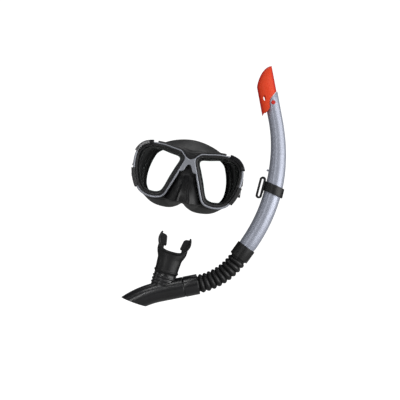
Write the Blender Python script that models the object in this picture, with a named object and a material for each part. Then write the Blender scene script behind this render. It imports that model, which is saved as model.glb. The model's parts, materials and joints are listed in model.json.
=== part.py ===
"""Two-window diving mask with its strap, and the snorkel that goes with it, as separate named solids.

Frame: metres, +Z up, +X towards the wearer's left, +Y from the front of the mask towards the face.
The origin is on the mask's centre plane, on the flat front face of the nose bridge.
Every dimension below is in millimetres, with heights from the level of the pupils, and solid() turns
them into metres from the origin.
"""

import math

import bmesh
import bpy
from mathutils import Matrix, Vector
from mathutils.geometry import delaunay_2d_cdt, tessellate_polygon

MM = 0.001
ORIGIN = Vector((0, 0, 11.0))  # the frame's origin, above the level of the pupils

# ---------------------------------------------------------------- driving dimensions (mm)
TOE_SLOPE = math.tan(math.radians(8.0))  # each window turns back by 8 degrees
BRIDGE_FLAT, TOE_START = 9.5, 12.0  # half widths of the flat of the nose bridge, and of its curve

# Outline of one window, on the inner edge of the bright bezel, as (x, z).
WINDOW = [
    (8, 15), (10.5, 20.5), (14.5, 23.7), (27, 26.4), (42, 28.8), (58, 28.3),
    (70, 24), (77.5, 14), (79.5, 0), (77.5, -15), (72, -31), (64, -42),
    (52, -47), (40, -47), (31, -43.5), (26.5, -35), (20, -18), (13.5, -1),
]
# Edge of the soft flange behind the glass, as (x, z).
APERTURE = [
    (15.2, 13), (17, 15.9), (30, 18.6), (45, 21.5), (58, 21), (66, 17.5),
    (71, 10), (72.3, 0), (70.5, -13), (65.5, -28), (59, -37), (51, -40),
    (41, -40.2), (35, -37.5), (31.3, -31), (26, -15.5), (20, 0),
]
WINDOW_STEPS = 36
COVER_STEPS = 240  # outline steps that the stations of an edge cover are picked from
COVER_ROWS = 7
COVER_LIP, COVER_HOOK, COVER_OUT = -0.6, 3.4, 5.3  # lip over the front, inside and outside of the hook
COVER_BACK = -0.3
GUARD_FACE, GUARD_SKIRT = -1.6, 8.5
MOUNT_FACE, MOUNT_SKIRT = -1.4, 11.0
APERTURE_STEPS = 24

BEZEL_DEPTH = (0.0, 5.0)
BEZEL_RIM = 3.0
BROW_THINNER = 1.3  # how much narrower the bezel's rim is along the brow
BROW_FROM, BROW_TO, BROW_EASE = 22.0, 60.0, 7.0  # least height and greatest x of that stretch, and its run-in
RETAINER_DEPTH = (1.2, 5.0)
RETAINER_OUT, RETAINER_IN = -0.4, -3.8
FRAME_DEPTH = (5.8, 8.6)
FRAME_RIM = 2.2
GLASS_DEPTH = (5.6, 8.5)
GLASS_RIM = -1.0
FRAME_HOLE = -0.6

SKIRT_Y = 10.4
SKIRT_WALL = 2.0
# Skirt stations round one half: front edge (x, z), sealing edge (x, z, y), inner lip (x, z, y), shoulder.
SKIRT = [
    ((0, 24), (0, 45.6, 46), (0, 33, 50), 0.0),
    ((13, 27), (15, 44.2, 46.5), (13, 32, 51), 0.0),
    ((28, 28), (31, 40, 49), (27, 29.5, 54), 0.0),
    ((43, 29.8), (46, 33, 54), (41, 25, 58), 0.1),
    ((58, 29.3), (58, 24, 60), (51.5, 17.5, 62), 0.5),
    ((70.6, 24.8), (65, 13, 64), (56, 8, 65), 0.9),
    ((77.6, 14.2), (68.5, 0, 66), (59, -2, 66), 1.0),
    ((79.3, 0), (70, -12, 66), (60.7, -12.5, 65), 1.0),
    ((77.2, -15.2), (69, -25, 64), (60.8, -23, 63), 1.0),
    ((72.2, -31.2), (65, -38.5, 61), (58.8, -33, 60), 0.9),
    ((64.6, -42.8), (57, -50, 57), (53, -41.5, 56), 0.6),
    ((52, -48), (46, -57.4, 53), (44, -47.5, 52), 0.2),
    ((39, -48.3), (32, -60.3, 49), (31, -50, 48), 0.0),
    ((28, -48), (18, -59.8, 45), (18, -49, 45), 0.0),
    ((15, -49.5), (8, -55.8, 42), (9, -45.5, 42), 0.0),
    ((0, -48.5), (0, -50.6, 40), (0, -41, 40), 0.0),
]
SKIRT_STEPS = 2  # mesh columns between two stations
SKIRT_ROWS = (0.03, 0.12, 0.45, 1.0)
NOSE_TOP, NOSE_TIP = -6.5, -42.0
NOSE_REACH = 23.0
NOSE_ROOT, NOSE_SPREAD = 8.4, 0.382  # half width of the pocket at its root, and how fast it widens below
NOSE_RIDGE, NOSE_FALL = 0.27, 0.42
SKIRT_GRID = 6.0
FRONT_ROWS, FRONT_COLUMNS = range(-9, 6), range(-13, 14)

# Strap assembly, in a plane that tips up about the buckle pivots.
PIVOT_Y, PIVOT_Z = 33.0, -20.0
STRAP_TIP = 31.0
STRAP_THICK = 2.0
STRAP_HALF = 6.4
STRAP_BACK_HALF = 7.8
STRAP_WIDE_AT, STRAP_WIDENS = 42.0, 24.0
STRAP_SLOT = ((-24, 100, -1.8), (24, 125, 1.8))
ROLLER_X, ROLLER_Y = 79.3, 17.0
ROLLER_R, JOURNAL_R = 2.2, 1.2
LOOP_X, LOOP_START, LOOP_REACH, LOOP_POWER = 75.85, 26.0, 86.0, 2.6
TAIL_X, TAIL_START, TAIL_END = 82.75, 28.0, 40.0
CHEEK_IN, CHEEK_OUT = 9.2, 11.0
CHEEK_START, CHEEK_END, CHEEK_FACE = 6.0, 26.5, 84.5
ARM_START, ARM_END, FORK_START = 4.0, 27.0, 9.5
ARM_INSET = 0.2  # keeps the arms' edges inside the cheeks' faces
PIN_R, PIN_HEAD_R = 1.9, 3.2
PIN_CLEAR, JOURNAL_CLEAR = 0.2, 0.15
PIN_INNER, PIN_OUTER, PIN_HEAD = 75.4, 83.1, 1.3
LUG_R = 5.2
LUG_X = (79.5, 81.5)
PLATE_X = (77.0, 79.2)
LUG_ROOT = 19.2
BUTTON_X, BUTTON_Y = 79.3, 23.5
BUTTON_PAD = ((77.1, 18.5, 12.8), (82.1, 26.4, 14.8))
BUTTON_EDGE, STEM_R, STEM_LOW = 0.5, 1.5, 8.0

# Snorkel, flat in the plane y = SNORKEL_Y.
SNORKEL_Y = 14.0
TUBE_CENTRE, TUBE_BEND = (-112.0, 7.8), 242.0
TUBE_LOW, TUBE_HIGH = math.radians(-25.15), math.radians(21.7)
TUBE_WALL = 1.8
TUBE_R_LOW, TUBE_R_MID, TUBE_R_TOP = 12.6, 13.0, 10.4
TUBE_PLUG = 18.0
GUARD_T0 = 9.2  # from the end of the bend to the guard's lowest point, along the tube
GUARD_P0 = -18.2  # the guard's outer edge, across the tube from its centre line
GUARD_HALF, GUARD_WIDTH, GUARD_WALL = 12.6, 27.2, 1.6
GUARD_SHOULDER, GUARD_TOP = 43.5, 70.5  # where the hood starts to narrow, and its tip
# The hood's open side towards the tube, and its slot, as (across, along).
GUARD_EDGE = [
    (-4, -6), (-0.5, -1), (0.3, 0.6), (4.4, 4.7), (6.5, 4.3), (10.5, 7.5), (12.6, 10.5), (12.8, 16),
    (14.9, 22), (18.4, 25.3), (26, 31.5), (34, 36), (34, -6),
]
GUARD_SLOT = [(5.6, 22), (7.3, 20.6), (9.1, 22), (9.1, 28), (7.3, 29.4), (5.6, 28)]
PEG_AT = (19.0, 16.4)
PEG_R, PEG_CLEAR, PEG_START, PEG_END = 2.3, 0.3, 5.6, 10.9
SLEEVE_R, SLEEVE_WALL, SLEEVE_SPAN = 8.5, 1.4, (2.0, 19.6)
TUBE_TOP, TUBE_SLANT = 24.6, 0.75
KEEPER_STOP = ((114.3, -2.0, 20.4), (118.2, 2.0, 23.0))
CUFF_LENGTH = 24.0
HOSE_BEND = 93.0
HOSE_TURN = math.radians(42.55)
RINGS = 9
RING_OUT, RING_IN = 14.0, 11.1
HOSE_WALL = 1.5
COUPLING_LENGTH = 22.0
BARREL_R, BARREL_WALL = 15.0, 1.8
BARREL_STRAIGHT, BARREL_END = 60.0, 122.0
BARREL_CURL, BARREL_STEP = math.radians(0.43), 2.0  # curl per millimetre, followed in steps
SNOUT_R, SNOUT_BORE, SNOUT_START = 12.0, 10.2, 10.5  # the barrel's end inside the collar
COLLAR_BORE, COLLAR_R, COLLAR_CHAMFER = 12.35, 15.2, 0.8
CUFF_R, CUFF_BORE = 14.7, TUBE_R_LOW + 0.35
SPIGOT_R, SPIGOT_BORE, SPIGOT_LENGTH = 12.0, 10.4, 9.0
PORT_R, PORT_RIB, STUB_R, PORT_BORE = 16.8, 18.2, 11.5, 9.9
PORT_FLAT = 0.75  # depth of the port, as a share of its width
PORT_RIBS = (-15.2, -10.2, -5.2)
END_CUT = [(11, -216.5), (-97, -198.5), (-97, -260), (11, -260)]  # the slanted open end, as (x, z)
SEAT_R, SEAT_HALF, SEAT_HOLES, SEAT_HOLE_R, STEM_HOLE_R = 12.6, 1.2, 7.4, 2.7, 1.7
DIAPHRAGM = [(1.5, 1.4), (1.5, 11.0), (2.2, 11.0), (3.0, 3.5), (3.0, 1.4)]
MOUTH_FOOT = (-3.5, -158.0)
MOUTH_LEAN = math.radians(5.0)
# Neck of the mouthpiece, as (along, half width, half depth), and its bore likewise.
NECK = [
    (0.2, 17.2, 13.6), (2.2, 17.2, 13.6), (3.0, 18.6, 14.6), (4.6, 18.6, 14.6), (5.4, 17.2, 13.6),
    (11.2, 17.4, 13.4), (16, 17.8, 13.0), (23, 18.3, 12.4), (29, 20.9, 12.5), (33.5, 22.3, 12.6),
    (38, 22.6, 12.0), (44, 22.3, 10.0),
]
NECK_BORE = [(-3, 11.85, 11.85), (14.5, 11.85, 11.85), (17, 13.6, 9.6), (28, 14.4, 9.2), (40, 14.8, 9.0)]
# Right half of the lip flange, as (across, along, half height), its half thickness, and a bite tab.
FLANGE = [
    (0, 32.4, 14), (9, 33, 14), (16, 35.6, 13), (21, 41.5, 11),
    (23.6, 49, 9.5), (23, 55.5, 7.5), (21.3, 60, 4.5),
]
FLANGE_HALF = 1.3
BITE_TAB = [
    (22.4, 45), (20.4, 40.5), (15.5, 35.2), (12.2, 34.4), (10.4, 42),
    (12.6, 54), (15, 56.5), (21.8, 57.5),
]
BITE_HALF = 4.0
KEEPER_ANGLE = math.radians(-3.0)
KEEPER_SLANT = math.tan(math.radians(10))
KEEPER_BORE, KEEPER_R, KEEPER_HALF, KEEPER_CHAMFER = TUBE_R_MID + 0.6, 15.7, 7.0, 0.8
KEEPER_LOOP, KEEPER_TILT = (110.6, -5.2), math.radians(-3.5)
KEEPER_NECK = ((113.2, -5.2, -12.5), (115.3, 5.2, 4.5))
ROUND = 16


# ---------------------------------------------------------------- scene and materials
for old in list(bpy.data.objects):
    bpy.data.objects.remove(old)


def material(name, colour, roughness, metallic=0.0, alpha=1.0):
    made = bpy.data.materials.new(name)
    made.use_nodes = True
    shader = made.node_tree.nodes["Principled BSDF"]
    shader.inputs["Base Color"].default_value = (*colour, 1.0)
    shader.inputs["Roughness"].default_value = roughness
    shader.inputs["Metallic"].default_value = metallic
    shader.inputs["Alpha"].default_value = alpha
    return made


SILVER = material("silver_plastic", (0.40, 0.41, 0.45), 0.35, 0.5)
BLACK = material("black_plastic", (0.02, 0.02, 0.022), 0.3)
SILICONE = material("black_silicone", (0.025, 0.025, 0.025), 0.5)
GLASS = material("tempered_glass", (0.9, 0.95, 0.95), 0.02, 0.0, 0.2)
TUBE = material("grey_tube", (0.42, 0.44, 0.52), 0.3, 0.4)
ORANGE = material("orange_plastic", (0.75, 0.09, 0.02), 0.35)
STEEL = material("steel_pin", (0.6, 0.6, 0.6), 0.25, 1.0)


# ---------------------------------------------------------------- outlines in the plane
def catmull(points, steps, closed=True):
    """Centripetal Catmull-Rom through the points, with so many steps between two of them."""
    found = []
    count = len(points)
    spans = count if closed else count - 1
    for i in range(spans):
        if closed:
            p = [Vector(points[(i + k - 1) % count]) for k in range(4)]
        else:
            p = [Vector(points[min(max(i + k - 1, 0), count - 1)]) for k in range(4)]
            if i == 0:
                p[0] = p[1] * 2 - p[2]
            if i == spans - 1:
                p[3] = p[2] * 2 - p[1]
        knots = [0.0]
        for a, b in zip(p, p[1:]):
            knots.append(knots[-1] + max((b - a).length, 1e-6) ** 0.5)
        for k in range(steps):
            t = knots[1] + (knots[2] - knots[1]) * k / steps
            a = [blend(p[j], p[j + 1], t, knots[j], knots[j + 1]) for j in range(3)]
            b = [blend(a[j], a[j + 1], t, knots[j], knots[j + 2]) for j in range(2)]
            found.append(blend(b[0], b[1], t, knots[1], knots[2]))
    if not closed:
        found.append(Vector(points[-1]))
    return found


def blend(a, b, t, start, end):
    return a.lerp(b, (t - start) / (end - start))


def even(points, count):
    """A closed curve as so many points at equal steps."""
    loop = points + [points[0]]
    lengths = [0.0]
    for a, b in zip(loop, loop[1:]):
        lengths.append(lengths[-1] + (b - a).length)
    found = []
    j = 0
    for k in range(count):
        want = lengths[-1] * k / count
        while lengths[j + 1] < want:
            j += 1
        found.append(blend(loop[j], loop[j + 1], want, lengths[j], lengths[j + 1]))
    return found


def area(loop):
    return sum(a.x * b.y - b.x * a.y for a, b in zip(loop, loop[1:] + loop[:1])) / 2


def grow(loop, by):
    """A closed curve moved outwards by so much."""
    side = 1 if area(loop) > 0 else -1
    count = len(loop)
    moved = []
    for i, p in enumerate(loop):
        along = (loop[(i + 1) % count] - loop[i - 1]).normalized()
        moved.append(p + Vector((along.y, -along.x)) * by * side)
    return moved


def mirrored(loop):
    return [Vector((-p.x, p.y)) for p in reversed(loop)]


def window(by=0.0, steps=WINDOW_STEPS):
    return grow(even(catmull(WINDOW, 12), steps), by)


def aperture():
    return even(catmull(APERTURE, 12), APERTURE_STEPS)


def window_part(by, wanted, steps=WINDOW_STEPS):
    """The stretch of the grown window outline whose points are wanted, in order."""
    loop = window(by, steps)
    keep = [wanted(p) for p in loop]
    start = next(i for i in range(len(loop)) if keep[i] and not keep[i - 1])
    found = []
    for i in range(len(loop)):
        if not keep[(start + i) % len(loop)]:
            break
        found.append(loop[(start + i) % len(loop)])
    return found


def both_halves(right):
    """A closed outline from its right half, which starts and ends on the centre line."""
    points = [Vector(p) for p in right]
    return points + [Vector((-p.x, p.y)) for p in reversed(points[1:-1])]


def circle(x, z, r, count=16):
    turn = 2 * math.pi / count
    return [Vector((x + r * math.cos(turn * i), z + r * math.sin(turn * i))) for i in range(count)]


# ---------------------------------------------------------------- places
def toe(x):
    """How far back the mask front has swept at this distance from the centre plane."""
    curved = min(max(abs(x) - BRIDGE_FLAT, 0), TOE_START - BRIDGE_FLAT)
    straight = max(abs(x) - TOE_START, 0)
    return TOE_SLOPE * (curved * curved / (2 * (TOE_START - BRIDGE_FLAT)) + straight)


def on_mask(x, z, y):
    return Vector((x, y + toe(x), z))


def on_pane(x, z, y):
    """A point of a flat window pane: the plane of its side of the mask, without the bridge's curve."""
    return Vector((x, y + TOE_SLOPE * (abs(x) - (BRIDGE_FLAT + TOE_START) / 2), z))


def on_snorkel(x, z, y):
    return Vector((x, y + SNORKEL_Y, z))


def upright(x, y, z):
    return on_snorkel(x, z, y)


def tipped(x, y, z):
    """A point of the strap assembly, from its own plane into the part's frame."""
    turn = math.radians(STRAP_TIP)
    back = y * math.cos(turn) - z * math.sin(turn)
    up = y * math.sin(turn) + z * math.cos(turn)
    return Vector((x, PIVOT_Y + back, PIVOT_Z + up))


def on_mouth(w, m, y):
    """A point of the mouthpiece: w across its neck, m along it."""
    sine, cosine = math.sin(MOUTH_LEAN), math.cos(MOUTH_LEAN)
    x = MOUTH_FOOT[0] + w * cosine + m * sine
    z = MOUTH_FOOT[1] - w * sine + m * cosine
    return on_snorkel(x, z, y)


# ---------------------------------------------------------------- solids
def solid(name, points, faces, look, hidden=False):
    """One object from points in mm, with its faces turned outwards."""
    mesh = bpy.data.meshes.new(name)
    mesh.from_pydata([(p - ORIGIN) * MM for p in points], [], faces)
    shape = bmesh.new()
    shape.from_mesh(mesh)
    bmesh.ops.recalc_face_normals(shape, faces=shape.faces)
    shape.to_mesh(mesh)
    shape.free()
    mesh.shade_smooth()
    mesh.set_sharp_from_angle(angle=math.radians(35))
    mesh.materials.append(look)
    made = bpy.data.objects.new(name, mesh)
    bpy.context.scene.collection.objects.link(made)
    if hidden:
        made.hide_render = True
        made.display_type = "WIRE"
    return made


def plate(name, outer, holes, depth, chamfer, look, place=on_mask, hidden=False):
    """A flat plate with holes, between two depths, with its front edges chamfered."""
    front, back = depth
    levels = [(front, chamfer), (front + chamfer, 0.0), (back, 0.0)]
    if chamfer == 0:
        levels = [(front, 0.0), (back, 0.0)]
    loops = [outer] + list(holes)
    points, faces, starts = [], [], []
    for y, inset in levels:
        starts.append(len(points))
        for k, loop in enumerate(loops):
            moved = grow(loop, inset if k else -inset) if inset else loop
            points += [place(p.x, p.y, y) for p in moved]
    for low, high in zip(starts, starts[1:]):
        offset = 0
        for loop in loops:
            count = len(loop)
            for i in range(count):
                j = (i + 1) % count
                faces.append((low + offset + i, low + offset + j, high + offset + j, high + offset + i))
            offset += count
    flat = [[Vector((p.x, p.y, 0)) for p in loop] for loop in loops]
    cap = tessellate_polygon(flat)
    faces += [tuple(three) for three in cap]
    faces += [tuple(starts[-1] + i for i in three) for three in cap]
    return solid(name, points, faces, look, hidden)


def loft(name, rows, look, ends="caps", hidden=False):
    """A skin over rings of equally many points: closed by caps, or by joining the last ring to the first."""
    count = len(rows[0])
    points = [p for row in rows for p in row]
    faces = []
    pairs = list(zip(range(len(rows)), range(1, len(rows))))
    if ends == "loop":
        pairs.append((len(rows) - 1, 0))
    for a, b in pairs:
        for i in range(count):
            j = (i + 1) % count
            faces.append((a * count + i, a * count + j, b * count + j, b * count + i))
    if ends == "caps":
        faces.append(tuple(range(count)))
        faces.append(tuple((len(rows) - 1) * count + i for i in range(count)))
    return solid(name, points, faces, look, hidden)


def modify(target, tool, operation):
    change = target.modifiers.new(tool.name, "BOOLEAN")
    change.operation = operation
    change.object = tool
    change.solver = "EXACT"


def cut(target, tool):
    modify(target, tool, "DIFFERENCE")


def join(target, tool):
    modify(target, tool, "UNION")


def round_bar(name, start, end, radius, look, hidden=False, count=12):
    """A cylinder between two points."""
    start, end = Vector(start), Vector(end)
    axis = (end - start).normalized()
    side = axis.orthogonal().normalized()
    up = axis.cross(side)
    rows = []
    for centre in (start, end):
        ring = []
        for i in range(count):
            turn = 2 * math.pi * i / count
            ring.append(centre + (side * math.cos(turn) + up * math.sin(turn)) * radius)
        rows.append(ring)
    return loft(name, rows, look, "caps", hidden)


def block(name, low, high, look, place, hidden=False):
    """A box between two corners, each carried into place."""
    corners = [
        place(x, y, z) for x in (low[0], high[0]) for y in (low[1], high[1]) for z in (low[2], high[2])
    ]
    faces = [(0, 1, 3, 2), (4, 6, 7, 5), (0, 4, 5, 1), (2, 3, 7, 6), (0, 2, 6, 4), (1, 5, 7, 3)]
    return solid(name, corners, faces, look, hidden)


def side_sign(side):
    return 1 if side == "left" else -1


def flipped(place, side):
    """The same place on the wearer's left (+X), or mirrored to the right."""
    sign = side_sign(side)

    def put(*where):
        point = place(*where)
        return Vector((point.x * sign, point.y, point.z))

    return put


# ---------------------------------------------------------------- mask front
def bezel():
    ring = window_part(BEZEL_RIM, lambda p: not (p.x < 13.6 and -5.2 < p.y < 25))
    for p in ring:
        p.y -= BROW_THINNER * smooth((p.y - BROW_FROM) / BROW_EASE) * smooth((BROW_TO - p.x) / BROW_EASE)
    bridge_top = [(0, 15), (5.5, 17.2), (9.5, 20.8)]
    bridge_legs = [(12.4, -4.7), (8.6, -4.0), (6, -1.4), (4.2, 3.2), (2.2, 6.2), (0, 7)]
    outer = both_halves(bridge_top + ring + bridge_legs)
    hole = window()
    return plate("front_bezel", outer, [hole, mirrored(hole)], BEZEL_DEPTH, 0.8, SILVER)


def rear_frame():
    ring = window_part(FRAME_RIM, lambda p: not (p.x < 53.5 and p.y > 5 or p.x < 13.2 and p.y > -4))
    brow = [(0, 22), (6, 24), (12, 27.7), (20, 29.9), (30, 32), (40, 33.5), (51.5, 33.8), (51.5, 30.9)]
    legs = [(9.5, -2.6), (6.9, 0), (5, 4.6), (2.6, 7.4), (0, 8.2)]
    outer = both_halves(brow + ring + legs)
    hole = window(FRAME_HOLE)
    return plate("rear_frame", outer, [hole, mirrored(hole)], FRAME_DEPTH, 0.0, BLACK)


def window_parts(side):
    flip = mirrored if side == "right" else list
    plate(f"lens_{side}", flip(window(GLASS_RIM)), [], GLASS_DEPTH, 0.0, GLASS, on_pane)
    rim, hole = flip(window(RETAINER_OUT)), flip(window(RETAINER_IN))
    plate(f"lens_retainer_{side}", rim, [hole], RETAINER_DEPTH, 0.0, BLACK)


def edge_cover(name, side, wanted, front, back):
    """An L-shaped cover that hooks over the front and the outside of the bezel, along part of the window."""
    centre = window_part(0.0, wanted, COVER_STEPS)
    stations = [centre[round(k * (len(centre) - 1) / COVER_ROWS)] for k in range(COVER_ROWS + 1)]
    whole = window(0.0, COVER_STEPS)
    rows = []
    section = [
        (COVER_LIP, front), (COVER_OUT, front), (COVER_OUT, back),
        (COVER_HOOK, back), (COVER_HOOK, COVER_BACK), (COVER_LIP, COVER_BACK),
    ]
    place = flipped(on_mask, side)
    for p in stations:
        i = whole.index(p)
        along = (whole[(i + 1) % len(whole)] - whole[i - 1]).normalized()
        out = Vector((-along.y, along.x))
        rows.append([place(p.x + out.x * d, p.y + out.y * d, y) for d, y in section])
    return loft(name, rows, BLACK)


def corner_guard(side):
    edge_cover(f"corner_guard_{side}", side, lambda p: p.x > 56.8 and p.y > 12.2, GUARD_FACE, GUARD_SKIRT)


# ---------------------------------------------------------------- skirt
def smooth(t):
    t = min(max(t, 0.0), 1.0)
    return t * t * (3 - 2 * t)


def nose_half_width(z):
    return NOSE_ROOT + max(0.0, -1 - z) * NOSE_SPREAD


def nose_reach(x, z):
    """How far forward of the flange the nose pocket stands at this point."""
    if z > NOSE_TOP:
        return 0.0
    rise = smooth((NOSE_TOP - z) / (NOSE_TOP - NOSE_TIP)) ** 0.75
    u = abs(x) / nose_half_width(z)
    if u >= 1:
        return 0.0
    fall = 1 - NOSE_FALL * max(u - NOSE_RIDGE, 0) / (1 - NOSE_RIDGE)
    return NOSE_REACH * rise * fall * (1 - u ** 8)


def skirt_front(x, z):
    return Vector((x, SKIRT_Y + toe(x) - nose_reach(x, z), z))


def skirt_columns():
    """The three guide curves of the skirt, all round, and the shoulder weight of each column."""
    half = [(*a, *b, *c, s) for a, b, c, s in SKIRT]
    other = [(-h[0], h[1], -h[2], h[3], h[4], -h[5], h[6], h[7], h[8]) for h in half[-2:0:-1]]
    rows = catmull(half + other, SKIRT_STEPS)
    front = [Vector((r[0], r[1])) for r in rows]
    seal = [Vector((r[2], r[4], r[3])) for r in rows]
    lip = [Vector((r[5], r[7], r[6])) for r in rows]
    return front, seal, lip, [min(max(r[8], 0), 1) for r in rows]


def inside(p, loop):
    found = False
    for a, b in zip(loop, loop[1:] + loop[:1]):
        if (a.y > p.y) != (b.y > p.y) and p.x < (b.x - a.x) * (p.y - a.y) / (b.y - a.y) + a.x:
            found = not found
    return found


def skirt():
    front, seal, lip, shoulder = skirt_columns()
    hole = aperture()
    holes = [hole, mirrored(hole)]
    loops = [front] + holes
    flat, edges = [], []
    for loop in loops:
        start = len(flat)
        flat += loop
        edges += [(start + i, start + (i + 1) % len(loop)) for i in range(len(loop))]
    for row in FRONT_ROWS:
        for column in FRONT_COLUMNS:
            p = Vector(((column + row % 2 / 2) * SKIRT_GRID, row * SKIRT_GRID - 1))
            clear = min((p - q).length for loop in loops for q in loop) > SKIRT_GRID * 0.6
            if clear and inside(p, front) and not any(inside(p, h) for h in holes):
                flat.append(p)
    made = delaunay_2d_cdt(flat, edges, [], 0, 1e-6)
    points = [skirt_front(p.x, p.y) for p in made[0]]
    faces = []
    for three in made[2]:
        centre = sum((made[0][i] for i in three), Vector((0, 0))) / 3
        if inside(centre, front) and not any(inside(centre, h) for h in holes):
            faces.append(tuple(three))
    rim = [min(range(len(made[0])), key=lambda i: (made[0][i] - p).length) for p in front]
    count = len(front)
    last = rim
    for t in SKIRT_ROWS:
        row = []
        for i in range(count):
            start = skirt_front(front[i].x, front[i].y)
            slow = t ** 0.8 if t > SKIRT_ROWS[0] else 0.0
            fast = min(1.0, (t - SKIRT_ROWS[0]) / 0.07 * 0.62) if t < 0.15 else 0.62 + 0.38 * t ** 0.5
            across = slow + (fast - slow) * shoulder[i]
            p = start.lerp(seal[i], across)
            p.y = start.y + (seal[i].y - start.y) * t
            row.append(len(points))
            points.append(p)
        faces += [(last[i], last[(i + 1) % count], row[(i + 1) % count], row[i]) for i in range(count)]
        last = row
    for t in (0.5, 1.0):
        row = []
        for i in range(count):
            p = seal[i].lerp(lip[i], t)
            p.y += 1.5 * math.sin(math.pi * t)
            row.append(len(points))
            points.append(p)
        faces += [(last[i], last[(i + 1) % count], row[(i + 1) % count], row[i]) for i in range(count)]
        last = row
    made = solid("skirt", points, faces, SILICONE)
    wall = made.modifiers.new("wall", "SOLIDIFY")
    wall.thickness = SKIRT_WALL * MM
    wall.offset = 0
    wall.use_even_offset = True
    wall.thickness_clamp = 1.0
    return made


# ---------------------------------------------------------------- strap and buckles
def strap_path():
    """The strap's centre line in its own plane, as (x, y, half width, half slot), from tail to tail."""
    half = [(TAIL_X, TAIL_END), (TAIL_X, TAIL_START)]
    radius = TAIL_X - ROLLER_X
    for k in range(9):
        turn = math.pi * k / 8
        half.append((ROLLER_X + radius * math.cos(turn), ROLLER_Y - radius * math.sin(turn)))
    for k in range(13):
        turn = math.pi / 2 * k / 12
        x = LOOP_X * math.cos(turn) ** (2 / LOOP_POWER) if k < 12 else 0.0
        y = LOOP_START + LOOP_REACH * math.sin(turn) ** (2 / LOOP_POWER)
        half.append((x, y))
    return [Vector(p) for p in half] + [Vector((-x, y)) for x, y in half[-2::-1]]


def strap_half_width(x, y):
    """Narrow where it is threaded through a buckle, wide at the back of the head."""
    if y < LOOP_START + LOOP_REACH * 0.5:
        return STRAP_HALF
    return STRAP_HALF + (STRAP_BACK_HALF - STRAP_HALF) * smooth((STRAP_WIDE_AT - abs(x)) / STRAP_WIDENS)


def strap():
    path = strap_path()
    rows = []
    for i, p in enumerate(path):
        a, b = path[max(i - 1, 0)], path[min(i + 1, len(path) - 1)]
        along = (b - a).normalized()
        out = Vector((along.y, -along.x)) * STRAP_THICK / 2
        wide = strap_half_width(p.x, p.y)
        low, high = p + out, p - out
        rows.append([tipped(*low, -wide), tipped(*low, wide), tipped(*high, wide), tipped(*high, -wide)])
    made = loft("head_strap", rows, SILICONE)
    cut(made, block("strap_slot", *STRAP_SLOT, SILICONE, tipped, True))


def half_circle(start, steps):
    return [start + math.pi * k / steps for k in range(steps + 1)]


def buckle(side):
    put = flipped(tipped, side)
    wide, narrow = CHEEK_OUT - ARM_INSET, CHEEK_IN + ARM_INSET
    outline = [(ARM_END, wide), (ARM_START, wide)]
    outline += [(LUG_R * math.cos(t), LUG_R * math.sin(t)) for t in half_circle(math.pi / 2, 8)]
    outline += [(ARM_START, -wide), (ARM_END, -wide), (ARM_END, -narrow), (FORK_START, -narrow)]
    outline += [(FORK_START, narrow), (ARM_END, narrow)]
    points = [Vector(p) for p in outline]
    body = plate(f"buckle_body_{side}", points, [], PLATE_X, 0.0, BLACK, lambda y, z, x: put(x, y, z))
    for end, sign in (("upper", 1), ("lower", -1)):
        low, high = sorted((sign * CHEEK_IN, sign * CHEEK_OUT))
        corners = (PLATE_X[0] + 0.4, CHEEK_START, low), (CHEEK_FACE, CHEEK_END, high)
        join(body, block(f"{end}_cheek_{side}", *corners, BLACK, put, True))
    bores = [
        ("pivot_bore", (LUG_X[0] - 7.5, 0, 0), (LUG_X[1] + 2.5, 0, 0), PIN_R + PIN_CLEAR),
        ("roller_bore", (ROLLER_X, ROLLER_Y, -14), (ROLLER_X, ROLLER_Y, 14), JOURNAL_R + JOURNAL_CLEAR),
        ("stem_bore", (BUTTON_X, BUTTON_Y, 5), (BUTTON_X, BUTTON_Y, 14), STEM_R + 0.4),
    ]
    for name, start, end, radius in bores:
        cut(body, round_bar(f"{name}_{side}", put(*start), put(*end), radius, BLACK, True))


def strap_roller(side):
    put = flipped(tipped, side)
    bars = []
    turned = [("strap_roller", ROLLER_R, CHEEK_IN - 0.3), ("journal", JOURNAL_R, CHEEK_OUT - 0.2)]
    for name, radius, reach in turned:
        ends = put(ROLLER_X, ROLLER_Y, -reach), put(ROLLER_X, ROLLER_Y, reach)
        bars.append(round_bar(f"{name}_{side}", *ends, radius, STEEL, name == "journal"))
    join(*bars)


def release_button(side):
    put = flipped(tipped, side)
    button = block(f"release_button_{side}", *BUTTON_PAD, BLACK, put)
    bevel = button.modifiers.new("edge", "BEVEL")
    bevel.width = BUTTON_EDGE * MM
    bevel.segments = 1
    ends = put(BUTTON_X, BUTTON_Y, STEM_LOW), put(BUTTON_X, BUTTON_Y, BUTTON_PAD[0][2] + 0.7)
    join(button, round_bar(f"button_stem_{side}", *ends, STEM_R, BLACK, True))


def pivot_pin(side):
    """The headed pin through the mount's lug and the buckle body."""
    def across(x):
        return Vector((x * side_sign(side), PIVOT_Y, PIVOT_Z))

    pin = round_bar(f"pivot_pin_{side}", across(PIN_INNER + 0.3), across(PIN_OUTER - 0.5), PIN_R, STEEL)
    for name, x in (("outer_head", PIN_OUTER - PIN_HEAD), ("inner_head", PIN_INNER)):
        head = round_bar(f"{name}_{side}", across(x), across(x + PIN_HEAD), PIN_HEAD_R, STEEL, True)
        join(pin, head)


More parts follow.
